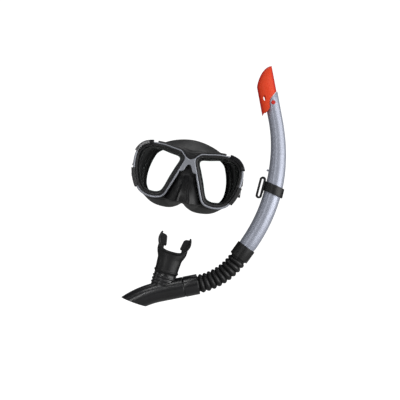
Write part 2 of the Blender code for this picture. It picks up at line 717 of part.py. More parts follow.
def buckle_mount(side):
    """The edge cover low on the side, with the lug that carries the buckle."""
    def stretch(p):
        return p.x > 60 and -37.2 < p.y < -11.5

    made = edge_cover(f"buckle_mount_{side}", side, stretch, MOUNT_FACE, MOUNT_SKIRT)
    put = flipped(lambda x, y, z: Vector((x, y, z)), side)
    arc = half_circle(-math.pi / 2, 10)
    outline = [Vector((PIVOT_Y + LUG_R * math.cos(t), PIVOT_Z + LUG_R * math.sin(t))) for t in arc]
    outline += [Vector((LUG_ROOT, PIVOT_Z + LUG_R)), Vector((LUG_ROOT, PIVOT_Z - LUG_R))]
    join(made, plate(f"lug_{side}", outline, [], LUG_X, 0.0, BLACK, lambda y, z, x: put(x, y, z), True))
    ends = put(LUG_X[0] - 3.5, PIVOT_Y, PIVOT_Z), put(LUG_X[1] + 3.5, PIVOT_Y, PIVOT_Z)
    cut(made, round_bar(f"lug_bore_{side}", *ends, PIN_R + PIN_CLEAR, BLACK, True))


# ---------------------------------------------------------------- snorkel tube and guard
TUBE_ARC = TUBE_BEND * (TUBE_HIGH - TUBE_LOW)


def tube_frame(s):
    """Centre, upward direction and outward direction of the tube, s along it from its visible lower end."""
    turn = TUBE_LOW + min(max(s / TUBE_BEND, 0.0), TUBE_HIGH - TUBE_LOW)
    out = Vector((math.cos(turn), 0, math.sin(turn)))
    up = Vector((-math.sin(turn), 0, math.cos(turn)))
    centre = Vector((TUBE_CENTRE[0], SNORKEL_Y, TUBE_CENTRE[1])) + out * TUBE_BEND
    rest = s if s < 0 else max(0.0, s - TUBE_ARC)
    return centre + up * rest, up, out


def tube_radius(s):
    if s < 5:
        return TUBE_R_MID + (TUBE_R_LOW - TUBE_R_MID) * smooth((5 - s) / 4)
    return TUBE_R_MID + (TUBE_R_TOP - TUBE_R_MID) * smooth((s - 80) / 120)


def tube_ring(s, radius, slant=0.0):
    centre, up, out = tube_frame(s)
    ring = []
    for i in range(ROUND):
        turn = 2 * math.pi * i / ROUND
        reach = radius * math.cos(turn)
        ring.append(centre + out * reach + Vector((0, radius * math.sin(turn), 0)) + up * reach * slant)
    return ring


def guard_place(p, t, y):
    """A point of the splash guard: p across it from its outer edge, t along it from its lowest point."""
    centre, up, out = tube_frame(TUBE_ARC + GUARD_T0 + t)
    return centre + out * (p + GUARD_P0) + Vector((0, y, 0))


def snorkel_tube():
    stations = [-TUBE_PLUG, 0.5, 5]
    stations += [5 + (TUBE_ARC - 5) * k / 16 for k in range(1, 17)]
    outer = [tube_ring(s, tube_radius(s)) for s in stations]
    top = TUBE_ARC + GUARD_T0 + TUBE_TOP
    outer.append(tube_ring(top, TUBE_R_TOP, TUBE_SLANT))
    inner = [tube_ring(s, tube_radius(s) - TUBE_WALL) for s in stations]
    inner.append(tube_ring(top, TUBE_R_TOP - TUBE_WALL, TUBE_SLANT))
    made = loft("snorkel_tube", outer + inner[::-1], TUBE, "loop")
    join(made, block("keeper_stop", *KEEPER_STOP, TUBE, upright, True))
    ends = guard_place(*PEG_AT, -14), guard_place(*PEG_AT, 14)
    cut(made, round_bar("peg_bore", *ends, PEG_R + PEG_CLEAR, TUBE, True))


def guard_section(t, wall=0.0):
    """One ring of the splash guard's hood, narrowing towards the tip."""
    left, right = 0.0, GUARD_WIDTH
    half = GUARD_HALF
    if t > GUARD_SHOULDER:
        rise = min(1.0, (t - GUARD_SHOULDER) / (GUARD_TOP - GUARD_SHOULDER))
        left = (right - 2.2) * (0.35 * rise + 0.65 * (1 - math.sqrt(max(0.0, 1 - rise * rise))))
        half = GUARD_HALF * math.sqrt(max(0.02, 1 - rise ** 1.6))
    left, right, half = left + wall, right - wall, half - wall
    centre, reach = (left + right) / 2, (right - left) / 2
    ring = []
    for i in range(ROUND):
        turn = 2 * math.pi * i / ROUND
        c, s = math.cos(turn), math.sin(turn)
        across = reach * math.copysign(abs(c) ** 0.9, c)
        ring.append(guard_place(centre + across, t, half * math.copysign(abs(s) ** 0.9, s)))
    return ring


def splash_guard():
    middle = [20, GUARD_SHOULDER, 49.5, 55.5, 61.5]
    made = loft("splash_guard", [guard_section(t) for t in [-2] + middle + [65.5, 68.5, GUARD_TOP]], ORANGE)
    inner = [guard_section(t, GUARD_WALL) for t in [-6] + middle + [64.5]]
    cut(made, loft("guard_hollow", inner, ORANGE, "caps", True))
    for name, outline in (("guard_trim", GUARD_EDGE), ("guard_slot", GUARD_SLOT)):
        points = [Vector(p) for p in outline]
        cut(made, plate(name, points, [], (-20, 20), 0.0, ORANGE, guard_place, True))


def guard_sleeve():
    """The plug inside the tube that the guard snaps on, with a peg through each side of the tube."""
    start, end = [TUBE_ARC + GUARD_T0 + t for t in SLEEVE_SPAN]
    bore = SLEEVE_R - SLEEVE_WALL
    rows = [tube_ring(s, r) for s, r in ((start, SLEEVE_R), (end, SLEEVE_R), (end, bore), (start, bore))]
    made = loft("guard_sleeve", rows, ORANGE, "loop")
    for name, sign in (("front", -1), ("back", 1)):
        ends = guard_place(*PEG_AT, sign * PEG_START), guard_place(*PEG_AT, sign * PEG_END)
        join(made, round_bar(f"{name}_peg", *ends, PEG_R, ORANGE, True))


# ---------------------------------------------------------------- keeper
def keeper_loop(half_width, half_height):
    """A tilted capsule round the keeper's slot."""
    points = []
    for k in range(20):
        turn = 2 * math.pi * (k + 0.5) / 20
        x = half_width * math.cos(turn)
        z = half_width * math.sin(turn) + math.copysign(half_height - half_width, math.sin(turn))
        cosine, sine = math.cos(KEEPER_TILT), math.sin(KEEPER_TILT)
        points.append(Vector(KEEPER_LOOP) + Vector((x * cosine - z * sine, x * sine + z * cosine)))
    return points


def keeper():
    centre, up, out = tube_frame(TUBE_BEND * (KEEPER_ANGLE - TUBE_LOW))
    edge = KEEPER_R - KEEPER_CHAMFER
    section = [
        (KEEPER_R, KEEPER_HALF - KEEPER_CHAMFER), (edge, KEEPER_HALF), (KEEPER_BORE, KEEPER_HALF),
        (KEEPER_BORE, -KEEPER_HALF), (edge, -KEEPER_HALF), (KEEPER_R, KEEPER_CHAMFER - KEEPER_HALF),
    ]
    rows = []
    for radius, shift in section:
        ring = []
        for i in range(ROUND):
            turn = 2 * math.pi * i / ROUND
            reach = radius * math.cos(turn)
            along = shift - reach * KEEPER_SLANT
            ring.append(centre + out * reach + Vector((0, radius * math.sin(turn), 0)) + up * along)
        rows.append(ring)
    made = loft("snorkel_keeper", rows, SILICONE, "loop")
    rim, slot = keeper_loop(4.5, 16.6), keeper_loop(1.6, 13.4)
    join(made, plate("strap_loop", rim, [slot], (-6, 6), 0.6, SILICONE, on_snorkel, True))
    join(made, block("loop_neck", *KEEPER_NECK, SILICONE, upright, True))


# ---------------------------------------------------------------- hose, coupling and barrel
def run_frame(s):
    """Centre, direction and upper normal along the hose and barrel, s from the tube's visible lower end."""
    start, up, _ = tube_frame(0.0)
    down = -up
    if s <= CUFF_LENGTH:
        return start + down * s, down, normal_of(down)
    start = start + down * CUFF_LENGTH
    s -= CUFF_LENGTH
    turned = min(s / HOSE_BEND, HOSE_TURN)
    centre = start + normal_of(down) * HOSE_BEND
    along = rotate(down, turned)
    point = centre - normal_of(along) * HOSE_BEND
    s -= turned * HOSE_BEND
    if s <= 0:
        return point, along, normal_of(along)
    straight = min(s, BARREL_STRAIGHT)
    point = point + along * straight
    s -= straight
    while s > 0:
        length = min(BARREL_STEP, s)
        along = rotate(along, -BARREL_CURL * length)
        point = point + along * length
        s -= length
    return point, along, normal_of(along)


def rotate(v, turn):
    """Turns a vector of the XZ plane clockwise as seen from the front."""
    c, s = math.cos(turn), math.sin(turn)
    return Vector((v.x * c + v.z * s, 0, -v.x * s + v.z * c))


def normal_of(along):
    """The normal on the side towards the mask, which is up where the barrel runs to the left."""
    return Vector((along.z, 0, -along.x))


HOSE_START = CUFF_LENGTH
HOSE_END = CUFF_LENGTH + HOSE_BEND * HOSE_TURN


def run_ring(s, radius):
    centre, _, up = run_frame(s)
    ring = []
    for i in range(ROUND):
        turn = 2 * math.pi * i / ROUND
        ring.append(centre + up * radius * math.cos(turn) + Vector((0, radius * math.sin(turn), 0)))
    return ring


def hose():
    outer = [(0.5, CUFF_R - 0.4), (1.5, CUFF_R), (20.0, CUFF_R), (21.0, CUFF_R - 0.7), (22.2, RING_IN)]
    pitch = (HOSE_END - HOSE_START) / RINGS
    for k in range(RINGS):
        base = HOSE_START + pitch * k - 0.6
        outer += [(base + pitch * 0.05, RING_IN), (base + pitch * 0.32, RING_OUT)]
        outer.append((base + pitch * 0.73, RING_OUT))
    spigot = HOSE_END + SPIGOT_LENGTH
    outer += [(HOSE_END + 0.3, RING_IN), (HOSE_END + 0.5, SPIGOT_R), (spigot, SPIGOT_R)]
    bore = RING_IN - HOSE_WALL
    inner = [(spigot, SPIGOT_BORE), (HOSE_END, bore), (HOSE_END - pitch * 4, bore)]
    inner += [(HOSE_START + 6, bore), (HOSE_START - 2, bore), (19, CUFF_BORE), (0.5, CUFF_BORE)]
    loft("corrugated_hose", [run_ring(s, r) for s, r in outer + inner], SILICONE, "loop")


def coupling():
    start, end = HOSE_END + 0.8, HOSE_END + COUPLING_LENGTH
    edge = COLLAR_R - COLLAR_CHAMFER
    profile = [(start, edge), (start + COLLAR_CHAMFER, COLLAR_R)]
    profile += [(end - COLLAR_CHAMFER, COLLAR_R), (end, edge), (end, COLLAR_BORE), (start, COLLAR_BORE)]
    loft("hose_coupling", [run_ring(s, r) for s, r in profile], BLACK, "loop")


def mouth_ring(m, wide, deep=None):
    deep = wide if deep is None else deep
    ring = []
    for i in range(ROUND):
        turn = 2 * math.pi * i / ROUND
        ring.append(on_mouth(wide * math.cos(turn), m, deep * math.sin(turn)))
    return ring


def barrel():
    body = HOSE_END + COUPLING_LENGTH + 0.4
    outer = [run_ring(s, SNOUT_R) for s in (HOSE_END + SNOUT_START, body - 0.1)]
    outer += [run_ring(body, BARREL_R - 0.7), run_ring(body + 0.8, BARREL_R)]
    along = [body + 14 + (BARREL_END - 36) * k / 8 for k in range(9)]
    outer += [run_ring(s, BARREL_R) for s in along]
    made = loft("purge_barrel", outer, BLACK)
    profile = [(-26, PORT_R)]
    for middle in PORT_RIBS:
        profile += [(middle - 1.4, PORT_R), (middle - 0.6, PORT_RIB)]
        profile += [(middle + 0.6, PORT_RIB), (middle + 1.4, PORT_R)]
    profile.append((-0.3, PORT_R))
    join(made, loft("port_boss", [mouth_ring(m, r, r * PORT_FLAT) for m, r in profile], BLACK, "caps", True))
    join(made, loft("port_stub", [mouth_ring(m, STUB_R) for m in (-6, 13)], BLACK, "caps", True))
    bore = BARREL_R - BARREL_WALL
    cavity = [run_ring(HOSE_END + 8, SNOUT_BORE), run_ring(body + 1, SNOUT_BORE)]
    cavity += [run_ring(s, bore) for s in [body + 5] + along + [along[-1] + 6]]
    cut(made, loft("barrel_cavity", cavity, BLACK, "caps", True))
    cut(made, loft("port_bore", [mouth_ring(m, PORT_BORE) for m in (-25, 16)], BLACK, "caps", True))
    end = [Vector(p) for p in END_CUT]
    cut(made, plate("end_slash", end, [], (-30, 30), 0.0, BLACK, on_snorkel, True))


PURGE_AT = HOSE_END + 78.0


def purge_valve():
    centre, along, up = run_frame(PURGE_AT)

    def place(x, z, depth):
        return centre + up * x + Vector((0, z, 0)) + along * depth

    holes = [circle(p.x, p.y, SEAT_HOLE_R, 10) for p in circle(0, 0, SEAT_HOLES, 6)]
    holes.append(circle(0, 0, STEM_HOLE_R, 10))
    plate("purge_seat", circle(0, 0, SEAT_R, 24), holes, (-SEAT_HALF, SEAT_HALF), 0.0, BLACK, place)
    rows = [[place(p.x, p.y, depth) for p in circle(0, 0, radius, 24)] for depth, radius in DIAPHRAGM]
    disc = loft("purge_diaphragm", rows, SILICONE, "loop")
    join(disc, round_bar("valve_stem", place(0, 0, -3.6), place(0, 0, 2.6), 1.45, SILICONE, True))


# ---------------------------------------------------------------- mouthpiece
def flange_path():
    """The middle of the lip flange from tip to tip, as (across, along, half height)."""
    half = catmull(FLANGE, 2, False)
    return [Vector((-p[0], p[1], p[2])) for p in half[:0:-1]] + half


def lip_flange():
    path = flange_path()
    rows = []
    for i, p in enumerate(path):
        a, b = path[max(i - 1, 0)], path[min(i + 1, len(path) - 1)]
        along = Vector((b[0] - a[0], b[1] - a[1])).normalized()
        out = Vector((along.y, -along.x)) * FLANGE_HALF
        ring = []
        for k in range(10):
            turn = 2 * math.pi * k / 10
            c, s = math.cos(turn), math.sin(turn)
            lift = math.copysign(abs(s) ** 0.5, s) * p[2]
            thick = math.copysign(abs(c) ** 0.6, c)
            ring.append(on_mouth(p[0] + out.x * thick, p[1] + out.y * thick, lift))
        rows.append(ring)
    return loft("lip_flange", rows, SILICONE, "caps", True)


def mouthpiece():
    """The neck is cut off along the middle of the flange, which then closes it towards the lips."""
    made = loft("mouthpiece", [mouth_ring(*row) for row in NECK], SILICONE)
    saddle = [Vector((p[0], p[1])) for p in flange_path()]
    cut(made, plate("saddle", saddle, [], (-20, 20), 0.0, SILICONE, on_mouth, True))
    join(made, lip_flange())
    for name, sign in (("near", 1), ("far", -1)):
        outline = [Vector((x * sign, m)) for x, m in BITE_TAB]
        tab = plate(
            f"bite_tab_{name}", outline, [], (-BITE_HALF, BITE_HALF), 0.0, SILICONE, on_mouth, True
        )
        join(made, tab)
    cut(made, loft("mouth_bore", [mouth_ring(*row) for row in NECK_BORE], SILICONE, "caps", True))


# ---------------------------------------------------------------- origins of the moving pieces
def turn_about(point, *names):
    """Puts the origins of pieces on the axis that they move on."""
    place = (Vector(point) - ORIGIN) * MM
    for name in names:
        made = bpy.data.objects[name]
        made.data.transform(Matrix.Translation(-place))
        made.location = place


def set_origins():
    turn_about((0, PIVOT_Y, PIVOT_Z), "head_strap", "buckle_body_left", "buckle_body_right")
    for side in ("left", "right"):
        put = flipped(tipped, side)
        turn_about(put(ROLLER_X, ROLLER_Y, 0), f"strap_roller_{side}")
        turn_about(put(BUTTON_X, BUTTON_Y, BUTTON_PAD[0][2]), f"release_button_{side}")
    turn_about(tube_frame(0)[0], "snorkel_tube", "splash_guard", "guard_sleeve")
    turn_about(on_snorkel(*TUBE_CENTRE, 0), "snorkel_keeper")
    middle = run_frame((HOSE_START + HOSE_END) / 2)[0]
    turn_about(middle, "corrugated_hose", "hose_coupling")
    turn_about(run_frame(HOSE_END)[0], "purge_barrel", "purge_seat")
    turn_about(on_mouth(0, 0, 0), "mouthpiece")
    turn_about(run_frame(PURGE_AT)[0], "purge_diaphragm")


# ---------------------------------------------------------------- the whole set
bezel()
rear_frame()
skirt()
strap()
for which in ("left", "right"):
    window_parts(which)
    corner_guard(which)
    buckle_mount(which)
    buckle(which)
    strap_roller(which)
    release_button(which)
    pivot_pin(which)
snorkel_tube()
splash_guard()
guard_sleeve()
keeper()
hose()
coupling()
barrel()
purge_valve()
mouthpiece()
set_origins()
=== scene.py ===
"""Looks of the two-window diving mask and its snorkel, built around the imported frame.

The mask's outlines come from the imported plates, and the joints give the centre lines of the snorkel
and the strap. Dimensions written here are in millimetres: +X to the wearer's left, +Y from the front
of the mask towards the face, +Z up. Heights are measured from the pupils.
"""

import itertools
import json
import math

import bmesh
import bpy
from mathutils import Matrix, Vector
from mathutils.geometry import delaunay_2d_cdt


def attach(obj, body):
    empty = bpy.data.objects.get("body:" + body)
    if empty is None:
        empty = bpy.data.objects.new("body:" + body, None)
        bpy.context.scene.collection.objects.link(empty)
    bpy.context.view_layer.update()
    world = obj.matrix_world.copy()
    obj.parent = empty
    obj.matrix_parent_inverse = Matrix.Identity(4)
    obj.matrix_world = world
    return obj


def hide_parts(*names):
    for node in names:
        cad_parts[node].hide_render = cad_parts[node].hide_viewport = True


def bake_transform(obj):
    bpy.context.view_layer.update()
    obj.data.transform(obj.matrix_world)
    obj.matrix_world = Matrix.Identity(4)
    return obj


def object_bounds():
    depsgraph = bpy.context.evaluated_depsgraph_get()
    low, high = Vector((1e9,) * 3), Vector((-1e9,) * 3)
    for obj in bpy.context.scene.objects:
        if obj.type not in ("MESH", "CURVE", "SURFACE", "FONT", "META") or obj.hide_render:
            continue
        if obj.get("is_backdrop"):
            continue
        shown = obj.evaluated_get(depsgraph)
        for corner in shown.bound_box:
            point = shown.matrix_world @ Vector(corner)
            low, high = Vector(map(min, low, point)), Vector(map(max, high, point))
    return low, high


MM = 0.001
ORIGIN = Vector((0, 0, 11.0))  # the frame's origin stands this far above the pupils
BACK = Vector((0, 1, 0))
SIGN = {"left": 1, "right": -1}
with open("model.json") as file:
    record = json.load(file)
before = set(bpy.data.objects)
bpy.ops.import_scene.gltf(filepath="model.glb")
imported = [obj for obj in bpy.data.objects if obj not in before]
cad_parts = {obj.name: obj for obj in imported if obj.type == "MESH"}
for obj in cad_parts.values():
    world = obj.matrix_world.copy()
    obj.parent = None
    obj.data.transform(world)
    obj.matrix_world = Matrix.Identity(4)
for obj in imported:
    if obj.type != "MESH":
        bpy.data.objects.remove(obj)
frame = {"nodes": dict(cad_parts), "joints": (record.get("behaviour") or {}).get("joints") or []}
cad_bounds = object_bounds()
JOINTS = {joint["name"]: joint for joint in frame["joints"]}


def joint_place(name):
    return Vector(JOINTS[name]["pos_m"]) / MM + ORIGIN


def joint_axis(name):
    return Vector(JOINTS[name]["axis"]).normalized()


# ---------------- curves in the plane
def lerp(a, b, t, start, end):
    return a.lerp(b, (t - start) / (end - start))


def catmull(points, steps, closed=True, corner=180.0):
    """Centripetal Catmull-Rom through the points, left sharp where it turns by more than corner degrees."""
    count = len(points)
    points = [Vector(p) for p in points]
    limit = math.cos(math.radians(corner))

    def sharp(i):
        if not closed and i in (0, count - 1):
            return True
        a = points[i] - points[i - 1]
        b = points[(i + 1) % count] - points[i]
        return a.normalized().dot(b.normalized()) < limit

    found = []
    for i in range(count if closed else count - 1):
        p = [points[(i + k - 1) % count] for k in range(4)]
        if sharp(i):
            p[0] = p[1] * 2 - p[2]
        if sharp((i + 1) % count):
            p[3] = p[2] * 2 - p[1]
        knots = [0.0]
        for a, b in zip(p, p[1:]):
            knots.append(knots[-1] + max((b - a).length, 1e-6) ** 0.5)
        for k in range(steps):
            t = knots[1] + (knots[2] - knots[1]) * k / steps
            a = [lerp(p[j], p[j + 1], t, knots[j], knots[j + 1]) for j in range(3)]
            b = [lerp(a[j], a[j + 1], t, knots[j], knots[j + 2]) for j in range(2)]
            found.append(lerp(b[0], b[1], t, knots[1], knots[2]))
    if not closed:
        found.append(points[-1])
    return found


def even(points, count):
    """A closed curve as so many points at equal steps."""
    loop = points + [points[0]]
    lengths = [0.0]
    for a, b in zip(loop, loop[1:]):
        lengths.append(lengths[-1] + (b - a).length)
    found = []
    j = 0
    for k in range(count):
        want = lengths[-1] * k / count
        while lengths[j + 1] < want:
            j += 1
        found.append(lerp(loop[j], loop[j + 1], want, lengths[j], lengths[j + 1]))
    return found


def area(loop):
    return sum(a.x * b.y - b.x * a.y for a, b in zip(loop, loop[1:] + loop[:1])) / 2


def outward(loop, i):
    side = 1 if area(loop) > 0 else -1
    along = (loop[(i + 1) % len(loop)] - loop[i - 1]).normalized()
    return Vector((along.y, -along.x)) * side


def grow(loop, by):
    """A closed curve moved outwards by so much."""
    return [p + outward(loop, i) * by for i, p in enumerate(loop)]


def mirrored(loop):
    return [Vector((-p.x, p.y)) for p in reversed(loop)]


def inside(p, loop):
    found = False
    for a, b in zip(loop, loop[1:] + loop[:1]):
        if (a.y > p.y) != (b.y > p.y) and p.x < (b.x - a.x) * (p.y - a.y) / (b.y - a.y) + a.x:
            found = not found
    return found


def circle(r, count, x=0.0, z=0.0):
    turns = [2 * math.pi * i / count for i in range(count)]
    return [Vector((x + r * math.cos(turn), z + r * math.sin(turn))) for turn in turns]


def oval(centre, a, b, count):
    """A ring of points in space round a centre, given its two half axes."""
    turns = [2 * math.pi * i / count for i in range(count)]
    return [centre + a * math.cos(turn) + b * math.sin(turn) for turn in turns]


CORNER_SHARE = 0.48  # the most of a side that the arc at one of its ends takes


def rounded(points, radius, closed=True, steps=5):
    """A polyline with its corners turned into arcs."""
    points = [Vector(p) for p in points]
    count = len(points)
    found = []
    for i, p in enumerate(points):
        if not closed and i in (0, count - 1):
            found.append(p)
            continue
        back, ahead = points[i - 1] - p, points[(i + 1) % count] - p
        reach = min(radius, back.length * CORNER_SHARE, ahead.length * CORNER_SHARE)
        start, end = p + back.normalized() * reach, p + ahead.normalized() * reach
        for k in range(steps + 1):
            t = k / steps
            found.append(start.lerp(p, t).lerp(p.lerp(end, t), t))
    return found


def smooth(t):
    t = min(max(t, 0.0), 1.0)
    return t * t * (3 - 2 * t)


# ---------------- meshes
def metres(p):
    return (p - ORIGIN) * MM


def piece(name, points, faces, sharp=40.0):
    """One object from points in mm, faces turned outwards and shaded smooth up to the sharp angle."""
    mesh = bpy.data.meshes.new(name)
    mesh.from_pydata([metres(p) for p in points], [], faces)
    shape = bmesh.new()
    shape.from_mesh(mesh)
    bmesh.ops.recalc_face_normals(shape, faces=shape.faces)
    shape.to_mesh(mesh)
    shape.free()
    made = bpy.data.objects.new(name, mesh)
    bpy.context.scene.collection.objects.link(made)
    shade(made, sharp)
    return made


def shade(made, sharp=40.0):
    made.data.shade_smooth()
    made.data.set_sharp_from_angle(angle=math.radians(sharp))


def bands(rings, count, joined):
    """Quads between rings of equally many points, each ring closed."""
    pairs = list(zip(range(rings), range(1, rings)))
    if joined:
        pairs.append((rings - 1, 0))
    return [
        (a * count + i, a * count + (i + 1) % count, b * count + (i + 1) % count, b * count + i)
        for a, b in pairs
        for i in range(count)
    ]


def loft(name, rings, joined=False, sharp=40.0):
    """A skin over rings of equally many points: capped at its ends, or joined into a ring."""
    count = len(rings[0])
    faces = bands(len(rings), count, joined)
    if not joined:
        faces.append(tuple(range(count)))
        faces.append(tuple((len(rings) - 1) * count + i for i in range(count)))
    return piece(name, [p for ring in rings for p in ring], faces, sharp)


ROW_HEIGHT, RIM_GAP = 0.87, 0.55  # between rows of inner points, and from them to the rim, in steps


def filled(loops, step):
    """A flat region between loops as even triangles: its points and faces. The loops' points come first."""
    outer, holes = loops[0], loops[1:]
    flat, edges = [], []
    for loop in loops:
        start = len(flat)
        flat += loop
        edges += [(start + i, start + (i + 1) % len(loop)) for i in range(len(loop))]

    def within(p):
        return inside(p, outer) and not any(inside(p, hole) for hole in holes)

    cells = {}
    for p in flat:
        cells.setdefault((int(p.x // step), int(p.y // step)), []).append(p)
    low = Vector((min(p.x for p in outer), min(p.y for p in outer)))
    high = Vector((max(p.x for p in outer), max(p.y for p in outer)))
    for row in range(int((high.y - low.y) / (step * ROW_HEIGHT)) + 1):
        for column in range(int((high.x - low.x) / step) + 1):
            p = low + Vector(((column + row % 2 / 2) * step, row * step * ROW_HEIGHT))
            x, y = int(p.x // step), int(p.y // step)
            near = [q for i in (-1, 0, 1) for j in (-1, 0, 1) for q in cells.get((x + i, y + j), [])]
            if all((p - q).length >= step * RIM_GAP for q in near) and within(p):
                flat.append(p)
    made = delaunay_2d_cdt(flat, edges, [], 0, 1e-6)
    middles = [sum((made[0][i] for i in three), Vector((0, 0))) / 3 for three in made[2]]
    return made[0], [tuple(three) for three, middle in zip(made[2], middles) if within(middle)]


def plate(name, outer, holes, depth, fillet, place, step=2.0, back_fillet=0.3):
    """A flat plate with holes between two depths, its front edges rounded by the fillet."""
    front, back = depth
    turns = [math.pi / 2 * k / 6 for k in range(7)]
    levels = [(front + fillet * (1 - math.sin(t)), fillet * (1 - math.cos(t))) for t in reversed(turns)]
    for t in turns[::3]:
        levels.append((back - back_fillet * (1 - math.sin(t)), back_fillet * (1 - math.cos(t))))
    loops = [outer] + list(holes)
    points, faces, starts = [], [], []
    for y, inset in levels:
        starts.append(len(points))
        for k, loop in enumerate(loops):
            points += [place(p.x, p.y, y) for p in grow(loop, inset if k else -inset)]
    for low, high in zip(starts, starts[1:]):
        offset = 0
        for loop in loops:
            count = len(loop)
            for i in range(count):
                j = offset + (i + 1) % count
                faces.append((low + offset + i, low + j, high + j, high + offset + i))
            offset += count
    size = sum(len(loop) for loop in loops)
    for start, (y, inset) in ((starts[0], levels[0]), (starts[-1], levels[-1])):
        flat, cap = filled([grow(loop, inset if k else -inset) for k, loop in enumerate(loops)], step)
        extra = len(points)
        points += [place(p.x, p.y, y) for p in flat[size:]]
        faces += [tuple(start + i if i < size else extra + i - size for i in three) for three in cap]
    return piece(name, points, faces, 50.0)


def modify(made, kind, **settings):
    """Adds a modifier."""
    change = made.modifiers.new(kind.lower(), kind)
    for key, value in settings.items():
        setattr(change, key, value)


def bake(made):
    """Applies an object's modifiers to its mesh."""
    graph = bpy.context.evaluated_depsgraph_get()
    graph.update()
    mesh = bpy.data.meshes.new_from_object(made.evaluated_get(graph))
    made.modifiers.clear()
    made.data = mesh


def combine(base, added=(), removed=()):
    """Joins and cuts solids, and removes the tools."""
    for tools, operation in ((added, "UNION"), (removed, "DIFFERENCE")):
        for tool in tools:
            modify(base, "BOOLEAN", operation=operation, object=tool, solver="EXACT")
    bake(base)
    for tool in itertools.chain(added, removed):
        bpy.data.objects.remove(tool)
    shade(base)


def even_shading(made):
    """Takes the shading from the large faces, so the slivers along a cut don't show."""
    modify(made, "WEIGHTED_NORMAL", weight=80, keep_sharp=True)
    bake(made)


def gather(name, *solids):
    """Puts overlapping solids in one mesh, for remeshing into one skin."""
    shape = bmesh.new()
    for solid in solids:
        shape.from_mesh(solid.data)
        bpy.data.objects.remove(solid)
    mesh = bpy.data.meshes.new(name)
    shape.to_mesh(mesh)
    shape.free()
    made = bpy.data.objects.new(name, mesh)
    bpy.context.scene.collection.objects.link(made)
    return made


def soften(made, voxel, rounds):
    """Turns a joined solid into one moulded skin with soft edges."""
    modify(made, "REMESH", mode="VOXEL", voxel_size=voxel * MM, use_smooth_shade=True)
    modify(made, "SMOOTH", factor=0.5, iterations=rounds)
    bake(made)
    made.data.shade_smooth()


BAR_ROUND = 40  # points round a turned bar


def bar(name, start, end, profile):
    """A turned bar from start towards end: profile lists (distance, radius) along it."""
    start, end = Vector(start), Vector(end)
    axis = (end - start).normalized()
    side = axis.orthogonal().normalized()
    up = axis.cross(side)
    rings = [oval(start + axis * at, side * r, up * r, BAR_ROUND) for at, r in profile]
    return loft(name, rings)


def rod(name, start, end, radius):
    """A plain round bar between two points."""
    length = (Vector(end) - Vector(start)).length
    return bar(name, start, end, [(0, radius), (length, radius)])


def block(name, low, high, place, bevel=0.0):
    """A box between two corners, its edges rounded by the bevel, carried into place."""
    corners = [place(*corner) for corner in itertools.product(*zip(low, high))]
    faces = [(0, 1, 3, 2), (4, 6, 7, 5), (0, 4, 5, 1), (2, 3, 7, 6), (0, 2, 6, 4), (1, 5, 7, 3)]
    made = piece(name, corners, faces)
    if bevel:
        modify(made, "BEVEL", width=bevel * MM, segments=4)
        bake(made)
        shade(made, 50)
    return made


def finish_piece(made, look, body, slot, *nodes):
    """Gives a piece its material and its body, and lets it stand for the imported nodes."""
    made.data.materials.clear()
    made.data.materials.append(look)
    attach(made, body)
    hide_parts(*nodes)


# ---------------- materials
def add_node(tree, kind, **inputs):
    """A new node, with values for some of its inputs."""
    made = tree.nodes.new(kind)
    for key, value in inputs.items():
        made.inputs[key.replace("_", " ")].default_value = value
    return made


class Look:
    """A Principled material whose inputs can be driven by procedural nodes."""

    def __init__(self, name):
        self.material = bpy.data.materials.new(name)
        self.material.use_nodes = True
        self.tree = self.material.node_tree
        self.shader = self.tree.nodes["Principled BSDF"]
        self.out = self.tree.nodes["Material Output"]
        self.where = self.node("ShaderNodeTexCoord").outputs["Object"]
        self.height = None

    def node(self, kind, **inputs):
        return add_node(self.tree, kind, **inputs)

    def link(self, output, target):
        self.tree.links.new(output, target)

    def set(self, **inputs):
        """Drives the shader's inputs, each by a fixed value or by a node's output."""
        for key, value in inputs.items():
            target = self.shader.inputs[key.replace("_", " ")]
            if isinstance(value, bpy.types.NodeSocket):
                self.link(value, target)
            else:
                target.default_value = value

    def noise(self, per_metre, detail=3.0, rough=0.5, stretch=None):
        made = self.node("ShaderNodeTexNoise", Scale=per_metre, Detail=detail, Roughness=rough)
        where = self.where
        if stretch:
            mapping = self.node("ShaderNodeMapping", Scale=stretch)
            self.link(where, mapping.inputs["Vector"])
            where = mapping.outputs["Vector"]
        self.link(where, made.inputs["Vector"])
        return made.outputs["Fac"]

    def spread(self, value, low, high):
        """A 0 to 1 value carried to low to high."""
        made = self.node("ShaderNodeMapRange", To_Min=low, To_Max=high)
        self.link(value, made.inputs["Value"])
        return made.outputs["Result"]

    def ramp(self, value, *stops):
        made = self.node("ShaderNodeValToRGB")
        while len(made.color_ramp.elements) < len(stops):
            made.color_ramp.elements.new(0.5)
        for element, (position, colour) in zip(made.color_ramp.elements, stops):
            element.position = position
            element.color = (*colour, 1.0)
        self.link(value, made.inputs["Fac"])
        return made.outputs["Color"]

    def bump(self, value, depth_mm):
        """Adds relief this deep to the shading, on top of any there already."""
        made = self.node("ShaderNodeBump", Distance=depth_mm * MM, Strength=1.0)
        self.link(value, made.inputs["Height"])
        if self.height is not None:
            self.link(self.height, made.inputs["Normal"])
        self.height = made.outputs["Normal"]
        self.set(Normal=self.height)


# Noise scales, per metre: slow changes of tone, of gloss and of surface, and the grain of a moulding.
TONE, GLOSS_CHANGE, SWELL, GRAIN = 55, 120, 160, 2600


def grained(name, dark, light, roughness, grain_mm, specular):
    """Moulded black plastic or rubber: a faint tone change, uneven gloss and a fine grain."""
    look = Look(name)
    look.set(
        Base_Color=look.ramp(look.noise(TONE, 4), (0.35, dark), (0.7, light)),
        Roughness=look.spread(look.noise(GLOSS_CHANGE, 5, 0.6), *roughness),
        Specular_IOR_Level=specular,
    )
    look.bump(look.noise(GRAIN, 2), grain_mm)
    look.bump(look.noise(SWELL, 3), grain_mm * 2)
    return look.material


